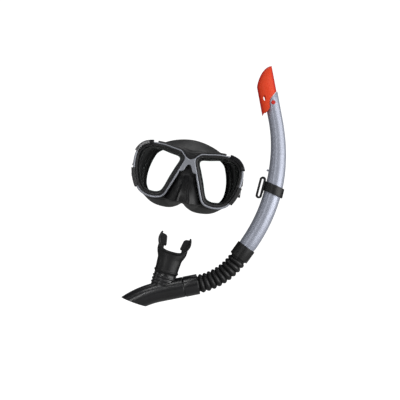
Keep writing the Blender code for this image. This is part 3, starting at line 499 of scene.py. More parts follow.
def silver_look():
    """Silver-grey paint with fine metal flakes."""
    look = Look("silver_paint")
    flakes = look.noise(5200, 1)
    look.set(
        Base_Color=look.ramp(flakes, (0.3, (0.17, 0.178, 0.2)), (0.75, (0.25, 0.26, 0.29))),
        Roughness=look.spread(look.noise(90, 4), 0.3, 0.42),
        Metallic=0.35,
    )
    look.bump(flakes, 0.012)
    return look.material


def pearl_look():
    """Blue-grey pearl plastic, a little uneven in gloss and in surface."""
    look = Look("pearl_tube")
    look.set(
        Base_Color=look.ramp(look.noise(4200, 1), (0.3, (0.235, 0.25, 0.3)), (0.72, (0.295, 0.312, 0.37))),
        Roughness=look.spread(look.noise(60, 4), 0.36, 0.42),
        Metallic=0.4,
    )
    look.bump(look.noise(90, 3), 0.0012)
    return look.material


RED_PAINTED_GLOW = 0.7  # painted glow: the red plastic shines with light of its own, in place of the light that enters bright red plastic and comes back out
RED_DEPTH = (1.0, 0.2, 0.06)  # how far red, green and blue light travel inside it, against each other


def red_look(name, face, rim, edge):
    """Translucent red plastic with painted shade and a painted glow: the colour is deeper where the wall is
    seen edge-on, partly the real depth of the plastic there and partly shade painted along its rims.
    """
    look = Look(name)
    facing = look.node("ShaderNodeLayerWeight", Blend=0.3)
    add = look.node("ShaderNodeMath")
    look.link(facing.outputs["Facing"], add.inputs[0])
    look.link(look.spread(look.noise(60, 3), -0.05, 0.05), add.inputs[1])
    # The colour is painted darker towards the edges seen edge-on: partly the deeper tone of thicker plastic
    # there, partly painted shade along the rims.
    depth = look.ramp(add.outputs["Value"], (0.14, face), (0.36, rim), (0.9, edge))
    # Base colour and glow both carry this painted edge shade; the glow is painted light, since the part is
    # no lamp.
    look.set(
        Base_Color=depth,
        Emission_Color=depth,
        Emission_Strength=RED_PAINTED_GLOW,
        Roughness=look.spread(look.noise(140, 4), 0.42, 0.52),
        Specular_IOR_Level=0.18,
        Subsurface_Weight=0.12,
        Subsurface_Radius=RED_DEPTH,
        Subsurface_Scale=2 * MM,
    )
    look.bump(look.noise(380, 3), 0.006)
    return look.material


def steel_look():
    """Steel with fine lines across the height."""
    look = Look("brushed_steel")
    lines = look.noise(900, 3, 0.6, (1, 1, 14))
    look.set(Base_Color=(0.62, 0.62, 0.63, 1.0), Roughness=look.spread(lines, 0.2, 0.38), Metallic=1.0)
    look.bump(lines, 0.008)
    return look.material


GLASS_TINT = (0.975, 0.99, 0.985, 1.0)
GLASS_MIRROR = 0.001  # the share of the light that the coated glass mirrors


def glass_look():
    """Clear coated glass: it lets light straight through, with a faint uneven mirror."""
    look = Look("clear_glass")
    look.tree.nodes.remove(look.shader)
    through = look.node("ShaderNodeBsdfTransparent", Color=GLASS_TINT)
    mirror = look.node("ShaderNodeBsdfGlossy")
    look.link(look.spread(look.noise(35, 2), 0.16, 0.24), mirror.inputs["Roughness"])
    mix = look.node("ShaderNodeMixShader", Fac=GLASS_MIRROR)
    look.link(through.outputs["BSDF"], mix.inputs[1])
    look.link(mirror.outputs["BSDF"], mix.inputs[2])
    look.link(mix.outputs["Shader"], look.out.inputs["Surface"])
    return look.material


SILVER = silver_look()
PEARL = pearl_look()
ORANGE = red_look("orange_translucent", (0.355, 0.026, 0.006), (0.25, 0.008, 0.005), (0.12, 0.002, 0.002))
# A darker copy of the orange plastic: painted shade for the guard's plug and pegs, which sit in the tube's
# shadow.
RED_PAINTED_SHADE = red_look("orange_painted_shade", (0.28, 0.014, 0.01), (0.2, 0.008, 0.007), (0.1, 0.003, 0.003))
STEEL = steel_look()
GLASS = glass_look()
INK, INK_LIGHT = (0.002, 0.002, 0.0025), (0.004, 0.004, 0.005)
COAL, COAL_LIGHT = (0.003, 0.003, 0.0035), (0.006, 0.006, 0.007)
RUBBER, RUBBER_LIGHT = (0.003, 0.003, 0.0032), (0.006, 0.006, 0.0065)
GLOSS = grained("gloss_black", INK, INK_LIGHT, (0.16, 0.26), 0.006, 0.5)
SMOOTH = grained("smooth_black", INK, INK_LIGHT, (0.26, 0.32), 0.001, 0.6)
SATIN = grained("satin_black", COAL, COAL_LIGHT, (0.34, 0.46), 0.015, 0.4)
SILICONE = grained("black_silicone", RUBBER, RUBBER_LIGHT, (0.38, 0.5), 0.012, 0.3)


# ---------------- mask: outlines from the frame
BRIDGE_FLAT, TOE_START = 9.5, 12.0  # half widths of the flat of the nose bridge, and of its curve


def node_shape(name):
    """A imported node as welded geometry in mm."""
    shape = bmesh.new()
    shape.from_mesh(frame["nodes"][name].data)
    bmesh.ops.remove_doubles(shape, verts=shape.verts, dist=1e-6)
    bmesh.ops.scale(shape, vec=(1 / MM,) * 3, verts=shape.verts)
    bmesh.ops.translate(shape, vec=ORIGIN, verts=shape.verts)
    return shape


def lens_slope():
    """How steeply a window turns back, from the front plane of the left glass."""
    shape = node_shape("lens_left")
    front = max((face for face in shape.faces if face.normal.y < 0), key=lambda face: face.calc_area())
    slope = -front.normal.x / front.normal.y
    shape.free()
    return slope


TOE_SLOPE = lens_slope()


def toe(x):
    """How far back the mask front has swept at this distance from the centre plane."""
    curved = min(max(abs(x) - BRIDGE_FLAT, 0), TOE_START - BRIDGE_FLAT)
    straight = max(abs(x) - TOE_START, 0)
    return TOE_SLOPE * (curved * curved / (2 * (TOE_START - BRIDGE_FLAT)) + straight)


def pane_sweep(x):
    return TOE_SLOPE * (abs(x) - (BRIDGE_FLAT + TOE_START) / 2)


def on_mask(x, z, y):
    return Vector((x, y + toe(x), z))


def on_pane(x, z, y):
    """A point of a flat window pane: the plane of its side of the mask, without the bridge's curve."""
    return Vector((x, y + pane_sweep(x), z))


def back_loops(name, sweep=toe):
    """The outlines of a packed plate's back face, the longest first, and its front and back depths."""
    shape = node_shape(name)
    depth = {v: v.co.y - sweep(v.co.x) for v in shape.verts}
    front, back = min(depth.values()), max(depth.values())
    flat = {f for f in shape.faces if all(depth[v] > back - 0.2 for v in f.verts)}
    follow = {}
    for edge in shape.edges:
        if sum(f in flat for f in edge.link_faces) == 1:
            a, b = edge.verts
            follow.setdefault(a, []).append(b)
            follow.setdefault(b, []).append(a)
    loops = []
    while follow:
        here = next(iter(follow))
        before = None
        loop = []
        while here in follow:
            loop.append(Vector((here.co.x, here.co.z)))
            ways = follow.pop(here)
            ahead = ways[0] if ways[0] is not before else ways[1]
            before, here = here, ahead
        loops.append(loop if area(loop) > 0 else loop[::-1])
    shape.free()
    loops.sort(key=area, reverse=True)
    return loops, (front, back)


LENS_LOOPS, LENS_DEPTH = back_loops("lens_left", pane_sweep)
GLASS_EDGE = catmull(LENS_LOOPS[0], 6)
BEZEL_LOOPS, BEZEL_DEPTH = back_loops("front_bezel")
WINDOW = catmull(next(loop for loop in BEZEL_LOOPS[1:] if loop[0].x > 0), 6)


def front_bezel():
    outer = catmull(BEZEL_LOOPS[0], 6, True, 60)
    depth = (0.0, BEZEL_DEPTH[1])
    windows = [WINDOW, mirrored(WINDOW)]
    made = plate("bezel_shell", outer, windows, depth, fillet=1.25, place=on_mask, step=1.4)
    finish_piece(made, SILVER, "mask", "silver_plastic", "front_bezel")


def rear_frame():
    loops, depth = back_loops("rear_frame")
    outer = catmull(loops[0], 6, True, 45)
    holes = [catmull(loop, 6) for loop in loops[1:]]
    made = plate("frame_plate", outer, holes, depth, fillet=0.5, place=on_mask)
    finish_piece(made, SATIN, "mask", "black_plastic", "rear_frame")


def swept(name, loop, section, place):
    """A ring whose section, as (outwards, depth) points, runs along a closed outline."""
    out = [outward(loop, i) for i in range(len(loop))]
    rings = [[place(p.x + n.x * d, p.y + n.y * d, y) for d, y in section] for p, n in zip(loop, out)]
    return loft(name, rings, True, 50)


RETAINER_SECTION = rounded(
    [(-0.4, 5.0), (-0.4, 1.3), (-1.7, 1.15), (-2.15, 2.2), (-3.5, 2.35), (-3.85, 5.0)], 0.35
)


def lens_and_retainer(side):
    flip = mirrored if side == "right" else list
    ring = swept(f"retainer_ring_{side}", flip(WINDOW), RETAINER_SECTION, on_mask)
    finish_piece(ring, SATIN, "mask", "black_plastic", f"lens_retainer_{side}")
    pane = plate(f"glass_{side}", flip(GLASS_EDGE), [], LENS_DEPTH, fillet=0.3, place=on_pane, step=6.0)
    finish_piece(pane, GLASS, "mask", "tempered_glass", f"lens_{side}")


def sided(place, side):
    """The same placing on the left side of the mask, or mirrored on its right."""
    def put(*where):
        point = place(*where)
        return Vector((point.x * SIGN[side], point.y, point.z))

    return put


def edge_run(wanted, stations):
    """Evenly spaced points of the window outline where wanted, with the way out at each."""
    loop = even(WINDOW, 720)
    keep = [wanted(p) for p in loop]
    start = next(i for i in range(len(loop)) if keep[i] and not keep[i - 1])
    run = []
    for i in range(start, start + len(loop)):
        if not keep[i % len(loop)]:
            break
        run.append(i % len(loop))
    chosen = [run[round(k * (len(run) - 1) / (stations - 1))] for k in range(stations)]
    return [(loop[i], outward(loop, i)) for i in chosen]


COVER_IN, COVER_OUT, COVER_WALL = -0.6, 5.3, 1.9  # from the window's outline, and the thickness beside it
COVER_INSIDE = -0.35  # how far the cover's inner face stands before the bezel's front


def edge_cover(name, side, wanted, front, back, lift):
    """An L-shaped cover over the front and the outside of the bezel, swelling by lift in its middle."""
    place = sided(on_mask, side)
    run = edge_run(wanted, 40)
    rings = []
    for k, (p, n) in enumerate(run):
        t = k / (len(run) - 1)
        top = front - lift * smooth(min(t, 1 - t) * 4)
        inner = COVER_OUT - COVER_WALL
        corners = [(COVER_IN, COVER_INSIDE), (COVER_IN, top), (COVER_OUT, top)]
        corners += [(COVER_OUT, back), (inner, back), (inner, COVER_INSIDE)]
        ring = rounded(corners, 0.8, True, 4)
        rings.append([place(p.x + n.x * d, p.y + n.y * d, y) for d, y in ring])
    return loft(name, rings, False, 50)


GUARD_FROM = (56.8, 12.2)  # the corner guards cover the window's edge outwards of this and above it


def corner_guard(side):
    def wanted(p):
        return p.x > GUARD_FROM[0] and p.y > GUARD_FROM[1]

    made = edge_cover(f"guard_cover_{side}", side, wanted, front=-1.3, back=8.5, lift=0.5)
    soften(made, 0.42, 3)
    finish_piece(made, GLOSS, "mask", "gloss_black_plastic", f"corner_guard_{side}")


# ---------------- mask: skirt
# Stations round one half of the skirt: front edge (x, z), face seal (x, z, y), inner lip (x, z, y), and
# shoulder, which is 1 where the wall steps outwards at once and 0 where it widens evenly.
SKIRT = [
    ((0, 24), (0, 45.6, 46), (0, 33, 50), 0.0),
    ((13, 27), (15, 44.2, 46.5), (13, 32, 51), 0.0),
    ((28, 28), (31, 40, 49), (27, 29.5, 54), 0.0),
    ((43, 29.8), (46, 33, 54), (41, 25, 58), 0.1),
    ((58, 29.3), (58, 24, 60), (51.5, 17.5, 62), 0.5),
    ((70.6, 24.8), (65, 13, 64), (56, 8, 65), 0.9),
    ((77.6, 14.2), (68.5, 0, 66), (59, -2, 66), 1.0),
    ((79.3, 0), (70, -12, 66), (60.7, -12.5, 65), 1.0),
    ((77.2, -15.2), (69, -25, 64), (60.8, -23, 63), 1.0),
    ((72.2, -31.2), (65, -38.5, 61), (58.8, -33, 60), 0.9),
    ((64.6, -42.8), (57, -50, 57), (53, -41.5, 56), 0.6),
    ((52, -48), (46, -57.4, 53), (44, -47.5, 52), 0.2),
    ((39, -48.3), (32, -60.3, 49), (31, -50, 48), 0.0),
    ((28, -48), (18, -59.8, 45), (18, -49, 45), 0.0),
    ((15, -49.5), (8, -55.8, 42), (9, -45.5, 42), 0.0),
    ((0, -48.5), (0, -50.6, 40), (0, -41, 40), 0.0),
]
APERTURE = [
    (15.2, 13), (17, 15.9), (30, 18.6), (45, 21.5), (58, 21), (66, 17.5),
    (71, 10), (72.3, 0), (70.5, -13), (65.5, -28), (59, -37), (51, -40),
    (41, -40.2), (35, -37.5), (31.3, -31), (26, -15.5), (20, 0),
]
SKIRT_Y = 10.4
SKIRT_WALL = 2.0
NOSE_TOP, NOSE_TIP, NOSE_REACH = -6.5, -42.0, 23.0
NOSE_TOP_HALF, NOSE_WIDENS = 8.4, 0.382  # half width of the pocket at its top, and its growth with the drop
NOSE_RIDGE = (0.13, 0.29)  # half width of the flat ridge at its top and foot, as a share of the pocket's
NOSE_STEP, NOSE_STEP_WIDTH = 0.17, 0.12  # the steep flank beside the ridge
NOSE_FALL, NOSE_DIP = 0.30, 0.02  # the slope beyond the flank, and the hollow along the ridge's middle
NOSE_BEAD, NOSE_BEAD_WIDTH = 0.06, 1.0  # height and half width of the raised bead on each edge of the ridge
SHOULDER = 0.62  # how much of the way out a full shoulder steps at once
WALL_RIB, WALL_WAVES = 0.28, 34  # height of the ribs on the side walls, and how fast they repeat
FINE_WALL, FINE_ROWS, WALL_ROWS = 0.084, 7, 22  # finely divided start of the wall, its rows, and the rest
SEAL_ROWS, SEAL_CURVE = 8, 2.0


def nose_half_width(z):
    return NOSE_TOP_HALF + max(0.0, -1 - z) * NOSE_WIDENS


def nose_reach(x, z):
    """How far forward of the flange the nose pocket stands at this point."""
    half = nose_half_width(z)
    u = abs(x) / half
    if z > NOSE_TOP or u >= 1:
        return 0.0
    down = (NOSE_TOP - z) / (NOSE_TOP - NOSE_TIP)
    rise = smooth(down) ** 0.75
    ridge = NOSE_RIDGE[0] + (NOSE_RIDGE[1] - NOSE_RIDGE[0]) * min(down, 1.0)
    fall = NOSE_DIP * (1 - min(u / ridge, 1.0) ** 2)
    fall += NOSE_STEP * min(max((u - ridge) / NOSE_STEP_WIDTH, 0.0), 1.0)
    fall += NOSE_FALL * max(0.0, (u - ridge) / (1 - ridge))
    off_edge = (u - ridge) * half / NOSE_BEAD_WIDTH
    bead = NOSE_BEAD * math.exp(-(off_edge ** 2))
    return NOSE_REACH * rise * (1 - fall + bead) * (1 - u ** 8)


def skirt_front(x, z):
    return Vector((x, SKIRT_Y + toe(x) - nose_reach(x, z), z))


def wall_row(t, front, seal, shoulder):
    """A row of the side wall: t runs from 0 at the front edge to 1 at the face seal."""
    rest = 1 - SHOULDER
    even_out = t ** 0.8
    stepped = smooth(t / 0.14) * SHOULDER * (1 - t) + (SHOULDER + rest * t ** 0.5) * t
    stepped = max(stepped, SHOULDER * smooth(t / 0.12) + rest * t)
    rib = WALL_RIB * math.sin(t * WALL_WAVES) * smooth((t - 0.12) * 6) * smooth((0.95 - t) * 6)
    row = []
    for start, end, share in zip(front, seal, shoulder):
        p = start.lerp(end, even_out + (stepped - even_out) * share)
        p.y = start.y + (end.y - start.y) * t
        p.x += math.copysign(rib * share, p.x)
        row.append(p)
    return row


def seal_row(t, seal, lip):
    """A row of the face seal, which curves backwards on its way in to the lip."""
    return [a.lerp(b, t) + BACK * SEAL_CURVE * math.sin(math.pi * t) for a, b in zip(seal, lip)]


def skirt():
    half = [(*a, *b, *c, s) for a, b, c, s in SKIRT]
    other = [(-h[0], h[1], -h[2], h[3], h[4], -h[5], h[6], h[7], h[8]) for h in half[-2:0:-1]]
    stations = catmull(half + other, 8)
    edge = [Vector((r[0], r[1])) for r in stations]
    seal = [Vector((r[2], r[4], r[3])) for r in stations]
    lip = [Vector((r[5], r[7], r[6])) for r in stations]
    shoulder = [min(max(r[8], 0), 1) for r in stations]
    hole = even(catmull(APERTURE, 12), 160)
    flat, faces = filled([edge, hole, mirrored(hole)], 0.9)
    points = [skirt_front(p.x, p.y) for p in flat]
    count = len(edge)
    front = points[:count]
    wall = [FINE_WALL * k / FINE_ROWS for k in range(1, FINE_ROWS + 1)]
    wall += [FINE_WALL + (1 - FINE_WALL) * k / WALL_ROWS for k in range(1, WALL_ROWS + 1)]
    rows = [wall_row(t, front, seal, shoulder) for t in wall]
    rows += [seal_row(k / SEAL_ROWS, seal, lip) for k in range(1, SEAL_ROWS + 1)]
    last = range(count)
    for row in rows:
        new = range(len(points), len(points) + count)
        points += row
        faces += [(last[i - 1], last[i], new[i], new[i - 1]) for i in range(count)]
        last = new
    made = piece("skirt_silicone", points, faces, 180)
    modify(made, "SMOOTH", factor=0.5, iterations=1)
    modify(
        made, "SOLIDIFY", thickness=SKIRT_WALL * MM, offset=0, use_even_offset=True, thickness_clamp=1.0
    )
    bake(made)
    shade(made, 60)
    finish_piece(made, SILICONE, "mask", "black_silicone", "skirt")


# ---------------- strap and buckles
PIVOT = joint_place("strap_swing")
STRAP_TIP = math.atan2(-joint_axis("strap_roller_left").y, joint_axis("strap_roller_left").z)
ROLLER_X = joint_place("strap_roller_left").x
ROLLER_Y = (joint_place("strap_roller_left") - Vector((ROLLER_X, PIVOT.y, PIVOT.z))).length
STRAP_THICK, STRAP_HALF, STRAP_BACK_HALF = 2.0, 6.4, 7.8
STRAP_LINES = (-1, -0.92, -0.6, -0.2, 0.2, 0.6, 0.92, 1)  # along the band, in shares of its half width
STRAP_WIDENS, STRAP_WIDENING = 42, 24  # where the band starts to widen, off the middle, and over what length
SLOT_FROM, SLOT_END, SLOT_HALF = 100, 24, 1.8  # how far back the split lies, its half length and half width
LOOP_X, LOOP_START, LOOP_REACH, LOOP_POWER = ROLLER_X - 3.45, 26.0, 86.0, 2.6
TAIL_X, TAIL_END, TAIL_STEP = ROLLER_X + 3.45, 40.0, 1.5
ROLLER_CLEAR = 22.0  # where the band is straight again behind its roller
CHEEK_IN, CHEEK_OUT = 9.2, 11.0
LUG_R, PIN_R, PIN_BORE_R = 5.2, 1.9, 2.1
LUG_X = (ROLLER_X + 0.2, ROLLER_X + 2.2)
PLATE_X = (ROLLER_X - 2.3, ROLLER_X - 0.1)


def tipped(x, y, z):
    """A point of the strap assembly, from its own plane into the frame."""
    back = y * math.cos(STRAP_TIP) - z * math.sin(STRAP_TIP)
    up = y * math.sin(STRAP_TIP) + z * math.cos(STRAP_TIP)
    return Vector((x, PIVOT.y + back, PIVOT.z + up))


def strap_path():
    """The band's line seen from above: a tail, round its roller, round the head, and the same mirrored."""
    half = [Vector((TAIL_X, TAIL_END - TAIL_STEP * k)) for k in range(9)]
    half.append(Vector((TAIL_X, ROLLER_CLEAR)))
    radius = TAIL_X - ROLLER_X
    for k in range(13):
        turn = math.pi * k / 12
        half.append(Vector((ROLLER_X + radius * math.cos(turn), ROLLER_Y - radius * math.sin(turn))))
    half.append(Vector((LOOP_X, ROLLER_CLEAR)))
    for k in range(61):
        turn = math.pi / 2 * k / 60
        x = LOOP_X * math.cos(turn) ** (2 / LOOP_POWER) if k < 60 else 0.0
        half.append(Vector((x, LOOP_START + LOOP_REACH * math.sin(turn) ** (2 / LOOP_POWER))))
    return half + [Vector((-p.x, p.y)) for p in half[-2::-1]]


def strap_heights(p):
    """The heights of the band's lines at a point of its path: it widens and splits behind the head."""
    wide = STRAP_HALF
    if p.y > LOOP_START + LOOP_REACH * 0.5:
        wide += (STRAP_BACK_HALF - STRAP_HALF) * smooth((STRAP_WIDENS - abs(p.x)) / STRAP_WIDENING)
    heights = [line * wide for line in STRAP_LINES]
    slot = SLOT_HALF * smooth((SLOT_END + 1 - abs(p.x)) / 3) if p.y > SLOT_FROM else 0.0
    if slot > 0:
        heights[3], heights[4] = -max(slot, 0.6), max(slot, 0.6)
        heights[2] = (heights[1] + heights[3]) / 2
        heights[5] = (heights[4] + heights[6]) / 2
    return heights


def strap():
    path = strap_path()
    points, faces = [], []
    for p in path:
        points += [tipped(p.x, p.y, height) for height in strap_heights(p)]
    width = len(STRAP_LINES)
    for i in range(len(path) - 1):
        middle = (path[i] + path[i + 1]) / 2
        split = middle.y > SLOT_FROM and abs(middle.x) < SLOT_END
        for j in range(width - 1):
            if split and j == 3:
                continue
            faces.append((i * width + j, i * width + j + 1, (i + 1) * width + j + 1, (i + 1) * width + j))
    made = piece("strap_band", points, faces, 180)
    modify(made, "SOLIDIFY", thickness=STRAP_THICK * MM, offset=0, use_even_offset=True)
    modify(made, "SUBSURF", levels=2, render_levels=2)
    bake(made)
    made.data.shade_smooth()
    finish_piece(made, SILICONE, "strap", "black_silicone", "head_strap")


def half_round(y, z, start, end, steps):
    """The arc of a lug's end about its pivot, between two angles counted in quarter turns."""
    turns = [math.pi / 2 * (start + (end - start) * k / steps) for k in range(steps + 1)]
    return [Vector((y + LUG_R * math.cos(turn), z + LUG_R * math.sin(turn))) for turn in turns]


def buckle_body(side):
    """A flat plate that swings on the lug, with two cheeks for the roller and an opening for the strap."""
    put = sided(tipped, side)
    wide, narrow = CHEEK_OUT - 0.2, CHEEK_IN + 0.2
    end, neck, opening = 27, 4, 9.5
    outline = [(end, wide), (neck, wide), *half_round(0, 0, 1, 3, 12), (neck, -wide), (end, -wide)]
    outline += [(end, -narrow), (opening, -narrow), (opening, narrow), (end, narrow)]

    def on_side(y, z, x):
        return put(x, y, z)

    body = plate(f"buckle_{side}", rounded(outline, 0.8, True, 3), [], PLATE_X, 0.3, on_side, 2.5)
    cheeks = []
    for name, low, high in (("upper", CHEEK_IN, CHEEK_OUT), ("lower", -CHEEK_OUT, -CHEEK_IN)):
        cheeks.append(block(f"{name}_cheek_{side}", (PLATE_X[0] + 0.4, 6, low), (84.5, 26.5, high), put))
    combine(body, cheeks, [rod(f"pivot_bore_{side}", put(72, 0, 0), put(84, 0, 0), PIN_BORE_R)])
    soften(body, 0.36, 2)
    finish_piece(body, SATIN, "strap", "black_plastic", f"buckle_body_{side}")


def strap_roller(side):
    """A steel roller with a journal at each end, which turns between the cheeks."""
    put = sided(tipped, side)
    end, journal, barrel_r, rim = 10.8, 1.2, 2.2, 1.9
    profile = [(0, 0.9), (0.2, journal), (1.85, journal), (1.9, rim), (2.2, barrel_r)]
    profile += [(19.4, barrel_r), (19.7, rim), (19.75, journal), (21.4, journal), (21.6, 0.9)]
    roller = bar(f"roller_{side}", put(ROLLER_X, ROLLER_Y, -end), put(ROLLER_X, ROLLER_Y, end), profile)
    finish_piece(roller, STEEL, f"roller_{side}", "steel", f"strap_roller_{side}")


def release_button(side):
    """A ribbed push button above the upper cheek, with its stem through the cheek."""
    put = sided(tipped, side)
    pad = block(f"pad_{side}", (77.1, 18.5, 12.8), (82.1, 26.4, 14.8), put, 0.6)
    ribs = []
    for k in range(4):
        low = 19.9 + 1.5 * k
        ribs.append(block(f"rib_{k}_{side}", (77.6, low, 14.3), (81.6, low + 0.6, 15.1), put))
    stem = rod(f"stem_{side}", put(ROLLER_X, 23.5, 8.0), put(ROLLER_X, 23.5, 13.5), 1.5)
    combine(pad, ribs + [stem])
    finish_piece(pad, GLOSS, f"button_{side}", "gloss_black_plastic", f"release_button_{side}")


def pivot_pin(side):
    """A steel rivet through the lug and the buckle, with a domed head at each end."""
    start = Vector((75.4 * SIGN[side], PIVOT.y, PIVOT.z))
    profile = [(0, 2.6), (0.3, 3.1), (0.9, 3.2), (1.3, 2.9), (1.35, PIN_R)]
    profile += [(6.35, PIN_R), (6.4, 2.9), (6.8, 3.2), (7.3, 3.1), (7.7, 2.6)]
    pin = bar(f"pin_{side}", start, start + Vector((SIGN[side], 0, 0)), profile)
    finish_piece(pin, STEEL, "mask", "steel", f"pivot_pin_{side}")


MOUNT_FROM, MOUNT_LOW, MOUNT_HIGH = 60, -37.2, -11.5  # the edge that the buckle mounts cover
MOUNT_BACK = 19.2  # how far back the lug's outline starts


def buckle_mount(side):
    """The edge cover low on the side, with the lug that carries the buckle."""
    def wanted(p):
        return p.x > MOUNT_FROM and MOUNT_LOW < p.y < MOUNT_HIGH

    def on_side(y, z, x):
        return Vector((x * SIGN[side], y, z))

    made = edge_cover(f"mount_cover_{side}", side, wanted, front=-1.2, back=11.0, lift=0.3)
    outline = half_round(PIVOT.y, PIVOT.z, 1, -1, 16)
    outline += [Vector((MOUNT_BACK, PIVOT.z - LUG_R)), Vector((MOUNT_BACK, PIVOT.z + LUG_R))]
    lug = plate(f"mount_lug_{side}", outline, [], LUG_X, 0.3, on_side, 2.5)
    bore = rod(f"lug_bore_{side}", on_side(PIVOT.y, PIVOT.z, 76), on_side(PIVOT.y, PIVOT.z, 85), PIN_BORE_R)
    combine(made, [lug], [bore])
    soften(made, 0.4, 2)
    finish_piece(made, SATIN, "mask", "black_plastic", f"buckle_mount_{side}")


# ---------------- snorkel tube
TUBE_CENTRE = joint_place("keeper_slide")
TUBE_BEND = 242.0
TUBE_LOW, TUBE_HIGH = math.radians(-25.15), math.radians(21.7)
TUBE_ARC = TUBE_BEND * (TUBE_HIGH - TUBE_LOW)
TUBE_R_LOW, TUBE_R_MID, TUBE_R_TOP = 12.6, 13.0, 10.4
TUBE_WALL, TUBE_PLUG = 1.8, 18.0
FOOT_END, FOOT_LENGTH = 5, 4  # the tube narrows a little where it enters the cuff
TAPER_START, TAPER_LENGTH = 80, 120
LIP_RISE, LIP_SLANT = 24.6, 0.75  # height of the tube's slanted lip above the guard's foot, and its slope
GUARD_T0, GUARD_P0 = 9.2, -18.2  # the guard's corner, along and across the tube from the end of its arc
GUARD_HALF, GUARD_WIDTH, GUARD_WALL = 12.6, 27.2, 1.6
GUARD_SHOULDER, GUARD_TOP, GUARD_TIP = 43.5, 70.5, 2.2  # where the hood narrows, its tip and tip's width
GUARD_EDGE = [
    (-4, -6), (-0.5, -1), (0.3, 0.6), (4.4, 4.7), (6.5, 4.3), (10.5, 7.5), (12.6, 10.5), (12.8, 16),
    (14.9, 22), (18.4, 25.3), (26, 31.5), (34, 36), (34, -6),
]
GUARD_SLOT = [(5.6, 22), (7.3, 20.6), (9.1, 22), (9.1, 28), (7.3, 29.4), (5.6, 28)]
PEG_P, PEG_T, PEG_BORE_R = 19, 16.4, 2.6  # the peg: across the guard, along it, and its hole's radius
ROUND = 64


def tube_frame(s):
    """Centre, upward direction and outward direction of the tube, s along it from its visible low end."""
    turn = TUBE_LOW + min(max(s / TUBE_BEND, 0.0), TUBE_HIGH - TUBE_LOW)
    out = Vector((math.cos(turn), 0, math.sin(turn)))
    up = Vector((-math.sin(turn), 0, math.cos(turn)))
    rest = s if s < 0 else max(0.0, s - TUBE_ARC)
    return TUBE_CENTRE + out * TUBE_BEND + up * rest, up, out


def tube_radius(s):
    if s < FOOT_END:
        return TUBE_R_MID + (TUBE_R_LOW - TUBE_R_MID) * smooth((FOOT_END - s) / FOOT_LENGTH)
    return TUBE_R_MID + (TUBE_R_TOP - TUBE_R_MID) * smooth((s - TAPER_START) / TAPER_LENGTH)


def tube_ring(s, radius, slant=0.0, shift=0.0):
    """A ring round the tube, tipped by the slant and moved up by the shift."""
    centre, up, out = tube_frame(s)
    return oval(centre + up * shift, (out + up * slant) * radius, BACK * radius, ROUND)


def on_snorkel(x, z, y):
    return Vector((x, y + TUBE_CENTRE.y, z))


def guard_place(p, t, y):
    """A point of the splash guard: p across it from its outer edge, t along it from its lowest point."""
    centre, _, out = tube_frame(TUBE_ARC + GUARD_T0 + t)
    return centre + out * (p + GUARD_P0) + BACK * y


def snorkel_tube():
    low = [-TUBE_PLUG, -TUBE_PLUG + 0.6, 0.5, 1.2, 2, 3, 4, FOOT_END]
    stations = low + [FOOT_END + (TUBE_ARC - FOOT_END) * k / 60 for k in range(1, 61)]
    top = TUBE_ARC + GUARD_T0 + LIP_RISE
    lip = [(0.5, 0.0), (0.15, 0.15), (0.0, 0.5)]

    def skin(wall, side):
        """The tube's outer or inner surface, from the foot up to the lip."""
        rings = [tube_ring(s, tube_radius(s) - wall) for s in stations[1:]]
        rings.append(tube_ring(top - 12, TUBE_R_TOP - wall, LIP_SLANT * 0.5))
        for drop, inset in lip:
            rings.append(tube_ring(top - drop, TUBE_R_TOP - wall + side * inset, LIP_SLANT))
        return rings

    end = tube_ring(stations[0], tube_radius(stations[0]) - 0.6)
    made = loft("tube_shell", [end] + skin(0.0, -1) + skin(TUBE_WALL, 1)[::-1], True)
    nub = block("tube_nub", (114.3, 20.3, -2.2), (118.4, 23.1, 2.2), on_snorkel, 0.5)
    hole = rod("peg_bore", guard_place(PEG_P, PEG_T, -14), guard_place(PEG_P, PEG_T, 14), PEG_BORE_R)
    combine(made, [nub], [hole])
    finish_piece(made, PEARL, "snorkel", "grey_tube", "snorkel_tube")


def guard_section(t, wall=0.0):
    """One ring of the splash guard's hood, narrowing towards the tip."""
    left, right, half = 0.0, GUARD_WIDTH, GUARD_HALF
    if t > GUARD_SHOULDER:
        rise = min(1.0, (t - GUARD_SHOULDER) / (GUARD_TOP - GUARD_SHOULDER))
        left = (right - GUARD_TIP) * (0.35 * rise + 0.65 * (1 - math.sqrt(max(0.0, 1 - rise * rise))))
        half = GUARD_HALF * math.sqrt(max(0.02, 1 - rise ** 1.6))
    left, right, half = left + wall, right - wall, half - wall
    centre, reach = (left + right) / 2, (right - left) / 2
    ring = []
    for x, y in circle(1.0, ROUND):
        across, deep = math.copysign(abs(x) ** 0.9, x), math.copysign(abs(y) ** 0.9, y)
        ring.append(guard_place(centre + reach * across, t, half * deep))
    return ring


def cutter(name, outline, place, half=20, step=6.0):
    """A sharp-edged solid for cutting, through everything between -half and half."""
    return plate(name, outline, [], (-half, half), 0.01, place, step, 0.01)


def splash_guard():
    rise = GUARD_TOP - GUARD_SHOULDER
    stations = [-2, 10, 20, 30] + [GUARD_SHOULDER + rise * math.sin(math.pi / 2 * k / 20) for k in range(21)]
    made = loft("guard_hood", [guard_section(t) for t in stations])
    hollow = loft("guard_hollow", [guard_section(t, GUARD_WALL) for t in [-6, 20] + stations[4:-5]])
    trim = cutter("guard_trim", rounded(GUARD_EDGE, 1.2, True, 3), guard_place)
    slot = cutter("guard_slot", rounded(GUARD_SLOT, 1.5, True, 4), guard_place, step=3.0)
    combine(made, [], [hollow, trim, slot])
    finish_piece(made, ORANGE, "snorkel", "orange_plastic", "splash_guard")


